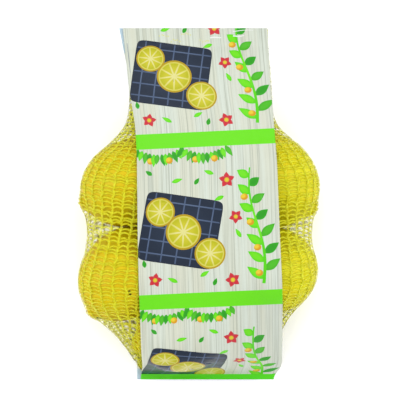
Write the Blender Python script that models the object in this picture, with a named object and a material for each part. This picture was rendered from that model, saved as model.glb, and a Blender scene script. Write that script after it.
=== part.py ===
"""Net of lemons, lying on its back: a knitted tube of yellow net, filled with five lemons and welded
flat at both ends between two printed film bands, one in front and one behind.

X runs across the pack, Y towards its head, Z up from the surface that it lies on. The origin is under
the middle of the bounding box. Each piece is one closed solid: the filled net, the front band and the
back band.
"""

from collections import namedtuple

import bmesh
import bpy
import numpy as np
from mathutils import Vector
from mathutils.bvhtree import BVHTree

MM = 0.001

# ---- the pack ----
LENGTH = 223.0 * MM  # cut edge to cut edge
HEAD_WELD = 10.0 * MM  # length of the flat weld at the head
FOOT_WELD = 3.6 * MM  # and at the foot
HEAD_LIFT = 27.0 * MM  # height of the head weld above the surface
FOOT_LIFT = 6.0 * MM  # and of the foot weld, close under the last lemon
HEAD_NET = (0.5 * MM, 84.0 * MM)  # middle and width of the net's flat end at the head
FOOT_NET = (0.5 * MM, 72.0 * MM)  # and at the foot

# ---- thicknesses ----
FILM = 0.5 * MM  # a film band
KNIT = 0.35 * MM  # one layer of net
CLEAR = 0.7 * MM  # between net and film
SINK = 0.4 * MM  # how far a lemon presses its own flat spot
SETTLE = 1.2 * MM  # film lower than this lies flat on the surface
SEAT = FILM + CLEAR + KNIT  # lowest level of the net's inner side
EDGE_REACH = 1.0  # how far a band holds the net down past its edges, in columns of its mesh

# ---- lemons: middle x, middle y, half length, half width (mm), turn from +X and tilt (degrees) ----
LEMONS = {
    "upper_left": (-42.2, 14.5, 34.1, 27.4, 204, 0),
    "upper_right": (42.2, 16.7, 34.8, 28.9, -35, 0),
    "lower_left": (-47.4, -43.4, 32.0, 27.4, 231, 0),
    "lower_right": (45.7, -41.0, 30.2, 27.4, 8, -54),
    "foot": (-8.2, -78.4, 34.0, 24.8, 197, 0),
}
NIPPLE_REACH = 3.0 * MM  # how far the nipple stands out at the blossom end
NIPPLE_RADIUS = 7.0 * MM

# ---- bands: stations along the pack as (y, middle x, width), from the foot to the head (mm) ----
FRONT_STATIONS = (
    (-111.5, 4.5, 85.0),
    (-107.5, 5.0, 85.5),
    (-103.0, 8.0, 88.4),
    (-60.0, 6.8, 88.8),
    (-20.0, 5.4, 87.8),
    (28.0, 4.2, 86.4),
    (50.0, 2.8, 86.4),
    (72.0, 0.0, 88.7),
    (111.5, -3.1, 91.3),
)
BACK_STATIONS = (
    (-111.5, 3.4, 87.0),
    (-60.0, 3.0, 88.0),
    (0.0, 2.0, 88.0),
    (84.0, -1.5, 88.0),
    (111.5, -7.0, 88.0),
)

# ---- how the net pulls ----
WALE_LENGTH = 214.0 * MM  # rest length of a lengthwise rib between the welds
REST_WIDTH = 92.0 * MM  # flat width to which the knit closes by itself
WALE_PULL = 2.4
PULL_PLACES = (0.0, 0.1, 0.25, 0.55, 0.73, 0.80, 1.0)  # along the pack, foot to head
COURSE_PULL = (0.05, 0.05, 0.072, 0.107, 0.1, 1.5, 1.5)  # pull across it at those places

# ---- starting shapes and mesh density ----
NET_HALF_WIDTH = 82.0 * MM  # the net's first, loose tube at its fattest
NET_HALF_HEIGHT = 36.0 * MM
BAND_RISE = {1: 60.0 * MM, -1: -10.0 * MM}  # how far each band starts above its welds, by side
NET_START = (12, 12)  # points round and rows of the first, coarse net; each refining doubles both
NET_ROUNDS = (600, 800, 500)  # relaxing steps before each refining, and after the last
BAND_COLUMNS = 14
BAND_ROWS = 44
BAND_STIFFNESS = 2.0  # pull that keeps a band straight across, next to 1 along it
BAND_STEPS = 2500
BAND_LAST = 60  # steps without pull at the end, which take the last dents out
NET_GAIN = 0.225  # share of the pull that a net point follows in one step, for a pull of 1
BESIDE = 0.5 * MM  # net points further than this beside a band aren't held by it
FLAT_ANGLE = 40  # faces that meet at more than this many degrees keep a sharp edge

Bump = namedtuple("Bump", "centre axes sizes")  # an ellipsoid: rows of axes are its own directions


def clear_scene():
    for item in list(bpy.data.objects):
        bpy.data.objects.remove(item, do_unlink=True)


def smooth_curve(stations, places):
    """A soft curve through a few stations, read at the given places."""
    fine = np.linspace(stations[0][0], stations[-1][0], 240)
    known = np.array([s[0] for s in stations])
    curves = []
    for column in range(1, len(stations[0])):
        values = np.interp(fine, known, [s[column] for s in stations])
        for _ in range(12):
            values[1:-1] = (values[:-2] + 2 * values[1:-1] + values[2:]) / 4
        curves.append(np.interp(places, fine * MM, values * MM))
    return curves


def make_bumps():
    """The lemons as ellipsoids, each with a second small one for its nipple."""
    bumps = []
    for x, y, half_length, half_width, turn, tilt in LEMONS.values():
        a, b = half_length * MM, half_width * MM
        turn, tilt = np.radians(turn), np.radians(tilt)
        along = np.array([np.cos(turn) * np.cos(tilt), np.sin(turn) * np.cos(tilt), np.sin(tilt)])
        across = np.cross((0, 0, 1), along)
        across /= np.linalg.norm(across)
        axes = np.stack([along, across, np.cross(along, across)])
        height = np.sqrt((a * along[2]) ** 2 + b**2 * (1 - along[2] ** 2))
        centre = np.array([x * MM, y * MM, SEAT - SINK + height])
        bumps.append(Bump(centre, axes, np.array([a, b, b])))
        tip = centre + along * (a + NIPPLE_REACH - NIPPLE_RADIUS)
        bumps.append(Bump(tip, axes, np.full(3, NIPPLE_RADIUS)))
    return bumps


def push_out(points, bumps, margin):
    """Points that are inside a bump, grown by the margin, moved out onto it."""
    for bump in bumps:
        sizes = bump.sizes + margin
        local = (points - bump.centre) @ bump.axes.T / sizes
        depth = np.linalg.norm(local, axis=-1, keepdims=True)
        inside = depth < 1
        local = np.where(inside, local / np.maximum(depth, 1e-9), local)
        points = np.where(inside, (local * sizes) @ bump.axes + bump.centre, points)
    return points


def drape_band(stations, bumps, side):
    """The inner side of a film band, taut over the lemons in front (side 1) or under them (-1)."""
    offset = side * (KNIT + CLEAR)
    ends = LENGTH / 2
    y = np.concatenate([[-ends], np.linspace(FOOT_WELD - ends, ends - HEAD_WELD, BAND_ROWS - 2), [ends]])
    share = np.clip((y + ends - FOOT_WELD) / (LENGTH - FOOT_WELD - HEAD_WELD), 0, 1)
    start = FOOT_LIFT + (HEAD_LIFT - FOOT_LIFT) * share + offset
    sheet = np.zeros((BAND_ROWS, BAND_COLUMNS, 3))
    sheet[..., 1] = y[:, None]
    sheet[..., 2] = (start + BAND_RISE[side] * np.sin(np.pi * share) ** 0.4)[:, None]
    across = np.linspace(-0.5, 0.5, BAND_COLUMNS)
    held = sheet[[0, 1, -2, -1]].copy()
    held[..., 2] = np.array([start[0], start[0], start[-1], start[-1]])[:, None]
    for step in range(BAND_STEPS + BAND_LAST):
        if step < BAND_STEPS:
            pull = np.zeros_like(sheet)
            pull[1:-1] = sheet[2:] + sheet[:-2] - 2 * sheet[1:-1]
            bend = BAND_STIFFNESS * (sheet[:, 2:] + sheet[:, :-2] - 2 * sheet[:, 1:-1])
            pull[:, 1:-1] += bend
            pull[:, [0, -1]] -= 0.5 * bend[:, [0, -1]]
            sheet = sheet + pull / (2.5 + 2 * BAND_STIFFNESS)
        sheet = push_out(sheet, bumps, KNIT + CLEAR)
        sheet[[0, 1, -2, -1], :, 1:] = held[..., 1:]
        sheet[..., 2] = np.maximum(sheet[..., 2], FILM)
        middle, width = smooth_curve(stations, sheet[..., 1])
        sheet[..., 0] = middle + width * across
    if side < 0:
        sheet[..., 2] = np.where(sheet[..., 2] < FILM + SETTLE, FILM, sheet[..., 2])
    return sheet


def start_net():
    """A coarse tube round everything, flat at both ends."""
    count, rows = NET_START
    turn = np.arange(count) / count
    fold = np.where(turn < 0.5, 1 - 4 * turn, 4 * turn - 3)  # across the flat tube, front then back
    share = np.linspace(0, 1, rows)
    fat = np.sin(np.pi * share)[:, None] ** 0.6
    middle = np.interp(share, (0, 1), (FOOT_NET[0], HEAD_NET[0]))[:, None]
    half = np.interp(share, (0, 1), (FOOT_NET[1] / 2, HEAD_NET[1] / 2))[:, None]
    level = np.interp(share, (0, 0.5, 1), (FOOT_LIFT, 30 * MM, HEAD_LIFT))[:, None]
    tube = np.zeros((rows, count, 3))
    spread = half + (NET_HALF_WIDTH - half) * fat
    tube[..., 0] = middle + spread * ((1 - fat) * fold + fat * np.cos(2 * np.pi * turn))
    tube[..., 1] = np.interp(share, (0, 1), (FOOT_WELD - LENGTH / 2, LENGTH / 2 - HEAD_WELD))[:, None]
    tube[..., 2] = level + NET_HALF_HEIGHT * fat * np.sin(2 * np.pi * turn)
    return tube


def refine(tube):
    """The same tube with a row and a rib added half way between each pair."""
    closed = np.concatenate([tube, tube[:, :1]], axis=1)
    ribs = np.repeat(tube, 2, axis=1)
    ribs[:, 1::2] = (closed[:, :-1] + closed[:, 1:]) / 2
    rows = np.repeat(ribs, 2, axis=0)[:-1]
    rows[1::2] = (ribs[:-1] + ribs[1:]) / 2
    return rows


def surface_tree(sheet, side):
    """A search tree of a band's inner side, reaching a little past its edges, facing away from the lemons."""
    left = sheet[:, :1] + (sheet[:, :1] - sheet[:, 1:2]) * EDGE_REACH
    right = sheet[:, -1:] + (sheet[:, -1:] - sheet[:, -2:-1]) * EDGE_REACH
    sheet = np.concatenate([left, sheet, right], axis=1)
    rows, columns, _ = sheet.shape
    points = [Vector(p) for p in sheet.reshape(-1, 3)]
    quads = []
    for row in range(rows - 1):
        for column in range(columns - 1):
            a = row * columns + column
            quad = (a, a + 1, a + columns + 1, a + columns)
            quads.append(quad if side > 0 else quad[::-1])
    return BVHTree.FromPolygons(points, quads)


def keep_between(tube, trees):
    """Net points that reach past a band's inner side, moved back behind it."""
    flat = tube.reshape(-1, 3)
    for number, point in enumerate(flat):
        for tree in trees:
            near, normal, _, distance = tree.find_nearest(Vector(point))
            ahead = (Vector(point) - near).dot(normal)
            beside = distance - abs(ahead)
            if ahead > -(KNIT + CLEAR) and beside < BESIDE:
                flat[number] = np.array(Vector(point) - normal * (ahead + KNIT + CLEAR))
    return flat.reshape(tube.shape)


def relax(tube, bumps, trees, steps):
    """The net drawn tight: ribs and courses pull like threads, the lemons push out."""
    rows, count, _ = tube.shape
    ends = tube[[0, -1]].copy()
    course_rest = 2 * REST_WIDTH / count
    wale_rest = WALE_LENGTH / (rows - 1)
    cell = wale_rest / course_rest  # so that a net of any fineness takes the same shape
    course_pull = cell * np.interp(np.linspace(0, 1, rows), PULL_PLACES, COURSE_PULL)[:, None, None]
    wale_pull = WALE_PULL / cell
    gain = NET_GAIN / (course_pull + wale_pull)
    for step in range(steps):
        course = np.roll(tube, -1, axis=1) - tube
        length = np.linalg.norm(course, axis=-1, keepdims=True)
        course = course * course_pull * np.maximum(1 - course_rest / np.maximum(length, 1e-9), 0)
        wale = tube[1:] - tube[:-1]
        length = np.linalg.norm(wale, axis=-1, keepdims=True)
        wale = wale * wale_pull * np.maximum(1 - wale_rest / np.maximum(length, 1e-9), 0)
        pull = course - np.roll(course, 1, axis=1)
        pull[1:-1] += wale[1:] - wale[:-1]
        tube = push_out(tube + gain * pull, bumps, 0)
        tube[..., 2] = np.maximum(tube[..., 2], SEAT)
        if step % 50 == 0 or step > steps - 8:
            tube = push_out(keep_between(tube, trees), bumps, 0)
        tube[[0, -1]] = ends
    return tube


def unit_normals(grid, closed):
    """Unit normals of a grid of points, across by along, by central differences."""
    along = np.gradient(grid, axis=0)
    if closed:
        across = np.roll(grid, -1, axis=1) - np.roll(grid, 1, axis=1)
    else:
        across = np.gradient(grid, axis=1)
    normal = np.cross(across, along)
    return normal / np.maximum(np.linalg.norm(normal, axis=-1, keepdims=True), 1e-12)


def add_solid(name, points, faces, colour, roughness):
    """A closed mesh object from points and faces, with normals pointing out and its own material."""
    shape = bmesh.new()
    corners = [shape.verts.new(Vector(p)) for p in points]
    for face in faces:
        shape.faces.new([corners[i] for i in face])
    bmesh.ops.recalc_face_normals(shape, faces=shape.faces)
    mesh = bpy.data.meshes.new(name)
    shape.to_mesh(mesh)
    shape.free()
    mesh.shade_smooth()
    mesh.set_sharp_from_angle(angle=np.radians(FLAT_ANGLE))
    material = bpy.data.materials.new(name)
    material.use_nodes = True
    shader = material.node_tree.nodes["Principled BSDF"]
    shader.inputs["Base Color"].default_value = (*colour, 1.0)
    shader.inputs["Roughness"].default_value = roughness
    mesh.materials.append(material)
    item = bpy.data.objects.new(name, mesh)
    bpy.context.collection.objects.link(item)
    return item


def make_net(bumps, trees):
    """The filled net: the relaxed tube's outer side, closed by its flat welded ends."""
    tube = start_net()
    for number, steps in enumerate(NET_ROUNDS):
        if number:
            tube = refine(tube)
        tube = relax(tube, bumps, trees, steps)
    rows, count, _ = tube.shape
    outer = tube - KNIT * unit_normals(tube, True)
    for row in (0, -1):
        outer[row] = tube[row]
        outer[row, :, 2] += KNIT * np.where(np.arange(count) < count / 2, 1, -1)
        outer[row, [0, count // 2], 2] = tube[row, 0, 2]
    foot, head = outer[:1].copy(), outer[-1:].copy()
    foot[..., 1] = -LENGTH / 2
    head[..., 1] = LENGTH / 2
    grid = np.concatenate([foot, outer, head])
    rows = len(grid)
    faces = []
    for row in range(rows - 1):
        for i in range(count):
            j = (i + 1) % count
            faces.append((row * count + i, row * count + j, (row + 1) * count + j, (row + 1) * count + i))
    for base in (0, (rows - 1) * count):
        faces.append((base, base + 1, base + count - 1))
        for i in range(1, count // 2 - 1):
            faces.append((base + i, base + i + 1, base + count - i - 1, base + count - i))
        half = count // 2
        faces.append((base + half - 1, base + half, base + half + 1))
    return add_solid("filled_net", grid.reshape(-1, 3), faces, (0.72, 0.62, 0.02), 0.6)


def make_band(name, inner, side, colour):
    """A film band as one closed solid: its inner side, its outer side and the rim between them."""
    outer = inner + side * FILM * unit_normals(inner, False)
    outer[[0, 1, -2, -1]] = inner[[0, 1, -2, -1]] + np.array((0, 0, side * FILM))
    if side < 0:
        lying = inner[..., 2] < FILM + 1e-9
        outer[lying] = inner[lying] - np.array((0, 0, FILM))
        outer[..., 2] = np.maximum(outer[..., 2], 0)
    rows, columns, _ = inner.shape
    total = rows * columns
    faces = []
    for row in range(rows - 1):
        for column in range(columns - 1):
            a = row * columns + column
            quad = (a, a + 1, a + columns + 1, a + columns)
            faces.append(quad)
            faces.append(tuple(total + i for i in quad[::-1]))
    rim = [column for column in range(columns)]
    rim += [row * columns + columns - 1 for row in range(1, rows)]
    rim += [(rows - 1) * columns + column for column in range(columns - 2, -1, -1)]
    rim += [row * columns for row in range(rows - 2, 0, -1)]
    for a, b in zip(rim, rim[1:] + rim[:1]):
        faces.append((a, total + a, total + b, b))
    points = np.concatenate([inner.reshape(-1, 3), outer.reshape(-1, 3)])
    return add_solid(name, points, faces, colour, 0.35)


def centre_pack(items):
    """The origin set under the middle of the bounding box."""
    corners = np.array([tuple(v.co) for item in items for v in item.data.vertices])
    low, high = corners.min(axis=0), corners.max(axis=0)
    shift = Vector((-(low[0] + high[0]) / 2, -(low[1] + high[1]) / 2, -low[2]))
    for item in items:
        for vertex in item.data.vertices:
            vertex.co += shift


def main():
    clear_scene()
    bumps = make_bumps()
    front = drape_band(FRONT_STATIONS, bumps, 1)
    back = drape_band(BACK_STATIONS, bumps, -1)
    trees = [surface_tree(front, 1), surface_tree(back, -1)]
    net = make_net(bumps, trees)
    front_band = make_band("front_band", front, 1, (0.74, 0.78, 0.67))
    back_band = make_band("back_band", back, -1, (0.78, 0.78, 0.70))
    centre_pack([net, front_band, back_band])


main()
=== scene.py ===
"""Looks of the net of lemons: five lemons, the knitted net drawn tight over them, and the two film bands
that the net is welded between, lying on a pale floor.

X runs across the pack, Y towards its head and Z up from the floor, in metres, as in the CAD solids. Sizes
in the constants and properties are multiplied by MM where they are in millimetres.
"""

from collections import namedtuple

import bmesh
import bpy
import numpy as np
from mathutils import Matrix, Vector, noise
from mathutils.bvhtree import BVHTree
from mathutils.geometry import delaunay_2d_cdt


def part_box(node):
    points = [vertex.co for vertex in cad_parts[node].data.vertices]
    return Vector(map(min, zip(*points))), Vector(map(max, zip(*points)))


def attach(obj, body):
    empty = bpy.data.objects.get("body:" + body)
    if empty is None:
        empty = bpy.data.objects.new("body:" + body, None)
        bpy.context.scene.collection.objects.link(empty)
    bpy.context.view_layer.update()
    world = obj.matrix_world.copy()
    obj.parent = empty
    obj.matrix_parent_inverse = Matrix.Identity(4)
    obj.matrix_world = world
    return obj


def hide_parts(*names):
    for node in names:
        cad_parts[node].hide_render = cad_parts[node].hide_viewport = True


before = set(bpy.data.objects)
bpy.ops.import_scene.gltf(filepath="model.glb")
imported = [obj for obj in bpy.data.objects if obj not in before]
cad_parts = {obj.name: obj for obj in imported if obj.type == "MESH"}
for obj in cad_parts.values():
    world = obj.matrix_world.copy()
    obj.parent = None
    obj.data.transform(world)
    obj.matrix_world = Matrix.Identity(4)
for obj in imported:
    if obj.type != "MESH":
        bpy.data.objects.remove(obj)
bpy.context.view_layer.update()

bl_info = {
    "name": "Net of lemons",
    "version": (1, 0, 0),
    "blender": (4, 5, 0),
    "location": "View3D > Sidebar > Lemon net",
    "description": "Makes a knitted net of lemons welded between two film bands, with its floor and light",
    "category": "Object",
}

MM = 0.001

# ---- the pack, as in the CAD solids ----
LENGTH = 223.0 * MM  # cut edge to cut edge
HEAD_WELD = 10.0 * MM  # length of the flat weld at the head
FOOT_WELD = 3.6 * MM  # and at the foot
HEAD_LIFT = 27.0 * MM  # height of the head weld above the floor
FOOT_LIFT = 6.0 * MM  # and of the foot weld
HEAD_NET = (0.5 * MM, 84.0 * MM)  # middle and width of the net's flat end at the head
FOOT_NET = (0.5 * MM, 72.0 * MM)  # and at the foot
FILM = 0.5 * MM  # a CAD film band's thickness
KNIT = 0.35 * MM  # one CAD layer of net
CLEAR = 0.7 * MM  # between net and film in CAD
SINK = 0.4 * MM  # how far a lemon presses its own flat spot
SETTLE = 1.2 * MM  # film lower than this lies flat on the floor
SEAT = FILM + CLEAR + KNIT  # lowest level of the net's inner side
EDGE_REACH = 1.0  # how far a band holds the net down past its edges, in columns of its mesh

# middle x, middle y, half length, half width (mm), turn from +X, tilt (degrees), ripeness 0 to 1
LEMONS = {
    "upper_left": (-42.2, 14.5, 34.1, 27.4, 204, 0, 0.62),
    "upper_right": (42.2, 16.7, 34.8, 28.9, -35, 0, 0.12),
    "lower_left": (-47.4, -43.4, 32.0, 27.4, 231, 0, 0.68),
    "lower_right": (45.7, -41.0, 30.2, 27.4, 8, -54, 0.12),
    "foot": (-8.2, -78.4, 34.0, 24.8, 197, 0, 0.6),
}
NIPPLE_REACH = 3.0 * MM  # how far the nipple stands out at the blossom end
NIPPLE_RADIUS = 7.0 * MM

# stations along the pack as (y, middle x, width), from the foot to the head (mm)
FRONT_STATIONS = (
    (-111.5, 4.5, 85.0),
    (-107.5, 5.0, 85.5),
    (-103.0, 8.0, 88.4),
    (-60.0, 6.8, 88.8),
    (-20.0, 5.4, 87.8),
    (28.0, 4.2, 86.4),
    (50.0, 2.8, 86.4),
    (72.0, 0.0, 88.7),
    (111.5, -3.1, 91.3),
)
BACK_STATIONS = (
    (-111.5, 3.4, 87.0),
    (-60.0, 3.0, 88.0),
    (0.0, 2.0, 88.0),
    (84.0, -1.5, 88.0),
    (111.5, -7.0, 88.0),
)

# how the net pulls
WALE_LENGTH = 214.0 * MM  # rest length of a lengthwise rib between the welds
REST_WIDTH = 92.0 * MM  # flat width to which the knit closes by itself
WALE_PULL = 2.4
PULL_PLACES = (0.0, 0.1, 0.25, 0.55, 0.73, 0.80, 1.0)  # along the pack, foot to head
COURSE_PULL = (0.05, 0.05, 0.072, 0.107, 0.1, 1.5, 1.5)  # pull across it at those places
NET_HALF_WIDTH = 82.0 * MM  # the net's first, loose tube at its fattest
NET_HALF_HEIGHT = 36.0 * MM
BAND_RISE = {1: 60.0 * MM, -1: -10.0 * MM}  # how far each band starts above its welds, by side
BAND_COLUMNS = 14
BAND_ROWS = 44
BAND_STIFFNESS = 2.0  # pull that keeps a band straight across, next to 1 along it
BAND_STEPS = 2500
BAND_LAST = 60
NET_GAIN = 0.225  # share of the pull that a net point follows in one step, for a pull of 1
BESIDE = 0.5 * MM  # net points further than this beside a band aren't held by it

# ---- the net's knitting ----
NET_START = (14, 25)  # ribs round and courses of the first, coarse net; each refining doubles both
NET_ROUNDS = (900, 600, 400)  # relaxing steps before each refining, and after the last
WELD_COURSES = {"foot": 2, "head": 4}  # courses crushed inside each weld
WELD_SQUASH = 0.35  # how thick the net is there, as a share of its free thickness

# ---- the films ----
FILM_FINE = 5  # each CAD step of a band is cut in this many for the looks
SKIN = 0.2 * MM  # drawn film thickness; the real 0.05 mm would be lost at this scale
PINCH = 0.55 * MM  # how much closer the films come together in the welds
PRINT_SLANT = 0.05  # the film was welded on with its print this much askew
PRINT_PITCH = 101.0  # repeat of the print along the film (mm)
PRINT_START = 41.1  # y of the upper green band's middle (mm)

# ---- camera and light ----
EYE_HEIGHT = 1.5  # camera above the lemons' middles
AIM_LEVEL = 28.0 * MM
AIM_UP = 3.15 * MM  # the view's middle, towards the head from the pack's middle
VIEW_WIDTH = 252.0 * MM  # what the view takes in at the aim level
SENSOR = 36.0

Bump = namedtuple("Bump", "centre axes sizes")
Film = namedtuple("Film", "inner normals reach widths side")
Shape = namedtuple("Shape", "outline ink centre turn size")


# ------------------------------------------------------------------ colours, nodes and meshes

ROOM_GAIN = 1.65  # how much brighter than its own colour a matt surface looks under this stage's light


def srgb(code, alpha=None):
    """A #rrggbb colour as linear values."""
    values = [int(code[i : i + 2], 16) / 255 for i in (1, 3, 5)]
    linear = [v / 12.92 if v <= 0.04045 else ((v + 0.055) / 1.055) ** 2.4 for v in values]
    return tuple(linear) if alpha is None else (*linear, alpha)


def seen(code, alpha=None):
    """The own colour of a surface that is to look like a #rrggbb colour on this stage."""
    values = [v / ROOM_GAIN for v in srgb(code)]
    return tuple(values) if alpha is None else (*values, alpha)


def add_node(tree, kind, settings=None, inputs=None):
    """A new node with its settings, and with its inputs set to values or linked to other nodes' outputs."""
    node = tree.nodes.new(kind)
    for name, value in (settings or {}).items():
        setattr(node, name, value)
    for name, value in (inputs or {}).items():
        if isinstance(value, bpy.types.NodeSocket):
            tree.links.new(value, node.inputs[name])
        else:
            node.inputs[name].default_value = value
    return node


def new_material(name):
    """An empty node material: its tree and its Principled shader."""
    material = bpy.data.materials.new(name)
    material.use_nodes = True
    return material, material.node_tree, material.node_tree.nodes["Principled BSDF"]


def new_object(name, mesh, materials=()):
    """The mesh as an object in the scene."""
    for material in materials:
        mesh.materials.append(material)
    item = bpy.data.objects.new(name, mesh)
    bpy.context.scene.collection.objects.link(item)
    return item


def mesh_of(name, points, faces):
    """A smooth-shaded mesh from points and faces."""
    mesh = bpy.data.meshes.new(name)
    mesh.from_pydata([tuple(p) for p in points], [], [tuple(int(i) for i in f) for f in faces])
    mesh.shade_smooth()
    return mesh


def smooth_step(values, low, high):
    """0 below low, 1 above high and a soft change between."""
    share = np.clip((values - low) / (high - low), 0, 1)
    return share * share * (3 - 2 * share)


# ------------------------------------------------------------------ the pack's shape


def smooth_curve(stations, places):
    """A soft curve through a few stations, read at the given places."""
    fine = np.linspace(stations[0][0], stations[-1][0], 240)
    known = np.array([s[0] for s in stations])
    curves = []
    for column in range(1, len(stations[0])):
        values = np.interp(fine, known, [s[column] for s in stations])
        for _ in range(12):
            values[1:-1] = (values[:-2] + 2 * values[1:-1] + values[2:]) / 4
        curves.append(np.interp(places, fine * MM, values * MM))
    return curves


def make_bumps():
    """The lemons as ellipsoids, each with a second small one for its nipple."""
    bumps = []
    for x, y, half_length, half_width, turn, tilt, _ in LEMONS.values():
        a, b = half_length * MM, half_width * MM
        turn, tilt = np.radians(turn), np.radians(tilt)
        along = np.array([np.cos(turn) * np.cos(tilt), np.sin(turn) * np.cos(tilt), np.sin(tilt)])
        across = np.cross((0, 0, 1), along)
        across /= np.linalg.norm(across)
        axes = np.stack([along, across, np.cross(along, across)])
        height = np.sqrt((a * along[2]) ** 2 + b**2 * (1 - along[2] ** 2))
        centre = np.array([x * MM, y * MM, SEAT - SINK + height])
        bumps.append(Bump(centre, axes, np.array([a, b, b])))
        tip = centre + along * (a + NIPPLE_REACH - NIPPLE_RADIUS)
        bumps.append(Bump(tip, axes, np.full(3, NIPPLE_RADIUS)))
    return bumps


def push_out(points, bumps, margin):
    """Points that are inside a bump, grown by the margin, moved out onto it."""
    for bump in bumps:
        sizes = bump.sizes + margin
        local = (points - bump.centre) @ bump.axes.T / sizes
        depth = np.linalg.norm(local, axis=-1, keepdims=True)
        inside = depth < 1
        local = np.where(inside, local / np.maximum(depth, 1e-9), local)
        points = np.where(inside, (local * sizes) @ bump.axes + bump.centre, points)
    return points


def drape_band(stations, bumps, side):
    """The inner side of a film band, taut over the lemons in front (side 1) or under them (-1)."""
    offset = side * (KNIT + CLEAR)
    ends = LENGTH / 2
    y = np.concatenate([[-ends], np.linspace(FOOT_WELD - ends, ends - HEAD_WELD, BAND_ROWS - 2), [ends]])
    share = np.clip((y + ends - FOOT_WELD) / (LENGTH - FOOT_WELD - HEAD_WELD), 0, 1)
    start = FOOT_LIFT + (HEAD_LIFT - FOOT_LIFT) * share + offset
    sheet = np.zeros((BAND_ROWS, BAND_COLUMNS, 3))
    sheet[..., 1] = y[:, None]
    sheet[..., 2] = (start + BAND_RISE[side] * np.sin(np.pi * share) ** 0.4)[:, None]
    across = np.linspace(-0.5, 0.5, BAND_COLUMNS)
    held = sheet[[0, 1, -2, -1]].copy()
    held[..., 2] = np.array([start[0], start[0], start[-1], start[-1]])[:, None]
    for step in range(BAND_STEPS + BAND_LAST):
        if step < BAND_STEPS:
            pull = np.zeros_like(sheet)
            pull[1:-1] = sheet[2:] + sheet[:-2] - 2 * sheet[1:-1]
            bend = BAND_STIFFNESS * (sheet[:, 2:] + sheet[:, :-2] - 2 * sheet[:, 1:-1])
            pull[:, 1:-1] += bend
            pull[:, [0, -1]] -= 0.5 * bend[:, [0, -1]]
            sheet = sheet + pull / (2.5 + 2 * BAND_STIFFNESS)
        sheet = push_out(sheet, bumps, KNIT + CLEAR)
        sheet[[0, 1, -2, -1], :, 1:] = held[..., 1:]
        sheet[..., 2] = np.maximum(sheet[..., 2], FILM)
        middle, width = smooth_curve(stations, sheet[..., 1])
        sheet[..., 0] = middle + width * across
    if side < 0:
        sheet[..., 2] = np.where(sheet[..., 2] < FILM + SETTLE, FILM, sheet[..., 2])
    return sheet


def start_net():
    """A coarse tube round everything, flat at both ends."""
    count, rows = NET_START
    turn = np.arange(count) / count
    fold = np.where(turn < 0.5, 1 - 4 * turn, 4 * turn - 3)  # across the flat tube, front then back
    share = np.linspace(0, 1, rows)
    fat = np.sin(np.pi * share)[:, None] ** 0.6
    middle = np.interp(share, (0, 1), (FOOT_NET[0], HEAD_NET[0]))[:, None]
    half = np.interp(share, (0, 1), (FOOT_NET[1] / 2, HEAD_NET[1] / 2))[:, None]
    level = np.interp(share, (0, 0.5, 1), (FOOT_LIFT, 30 * MM, HEAD_LIFT))[:, None]
    tube = np.zeros((rows, count, 3))
    spread = half + (NET_HALF_WIDTH - half) * fat
    tube[..., 0] = middle + spread * ((1 - fat) * fold + fat * np.cos(2 * np.pi * turn))
    tube[..., 1] = np.interp(share, (0, 1), (FOOT_WELD - LENGTH / 2, LENGTH / 2 - HEAD_WELD))[:, None]
    tube[..., 2] = level + NET_HALF_HEIGHT * fat * np.sin(2 * np.pi * turn)
    return tube


def refine(tube):
    """The same tube with a course and a rib added half way between each pair."""
    closed = np.concatenate([tube, tube[:, :1]], axis=1)
    ribs = np.repeat(tube, 2, axis=1)
    ribs[:, 1::2] = (closed[:, :-1] + closed[:, 1:]) / 2
    rows = np.repeat(ribs, 2, axis=0)[:-1]
    rows[1::2] = (ribs[:-1] + ribs[1:]) / 2
    return rows


def surface_tree(sheet, side):
    """A search tree of a band's inner side, reaching a little past its edges, facing away from the lemons."""
    left = sheet[:, :1] + (sheet[:, :1] - sheet[:, 1:2]) * EDGE_REACH
    right = sheet[:, -1:] + (sheet[:, -1:] - sheet[:, -2:-1]) * EDGE_REACH
    sheet = np.concatenate([left, sheet, right], axis=1)
    rows, columns, _ = sheet.shape
    points = [Vector(p) for p in sheet.reshape(-1, 3)]
    quads = []
    for row in range(rows - 1):
        for column in range(columns - 1):
            a = row * columns + column
            quad = (a, a + 1, a + columns + 1, a + columns)
            quads.append(quad if side > 0 else quad[::-1])
    return BVHTree.FromPolygons(points, quads)


def keep_between(tube, trees):
    """Net points that reach past a band's inner side, moved back behind it."""
    flat = tube.reshape(-1, 3)
    for number, point in enumerate(flat):
        for tree in trees:
            near, normal, _, distance = tree.find_nearest(Vector(point))
            ahead = (Vector(point) - near).dot(normal)
            beside = distance - abs(ahead)
            if ahead > -(KNIT + CLEAR) and beside < BESIDE:
                flat[number] = np.array(Vector(point) - normal * (ahead + KNIT + CLEAR))
    return flat.reshape(tube.shape)


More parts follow.
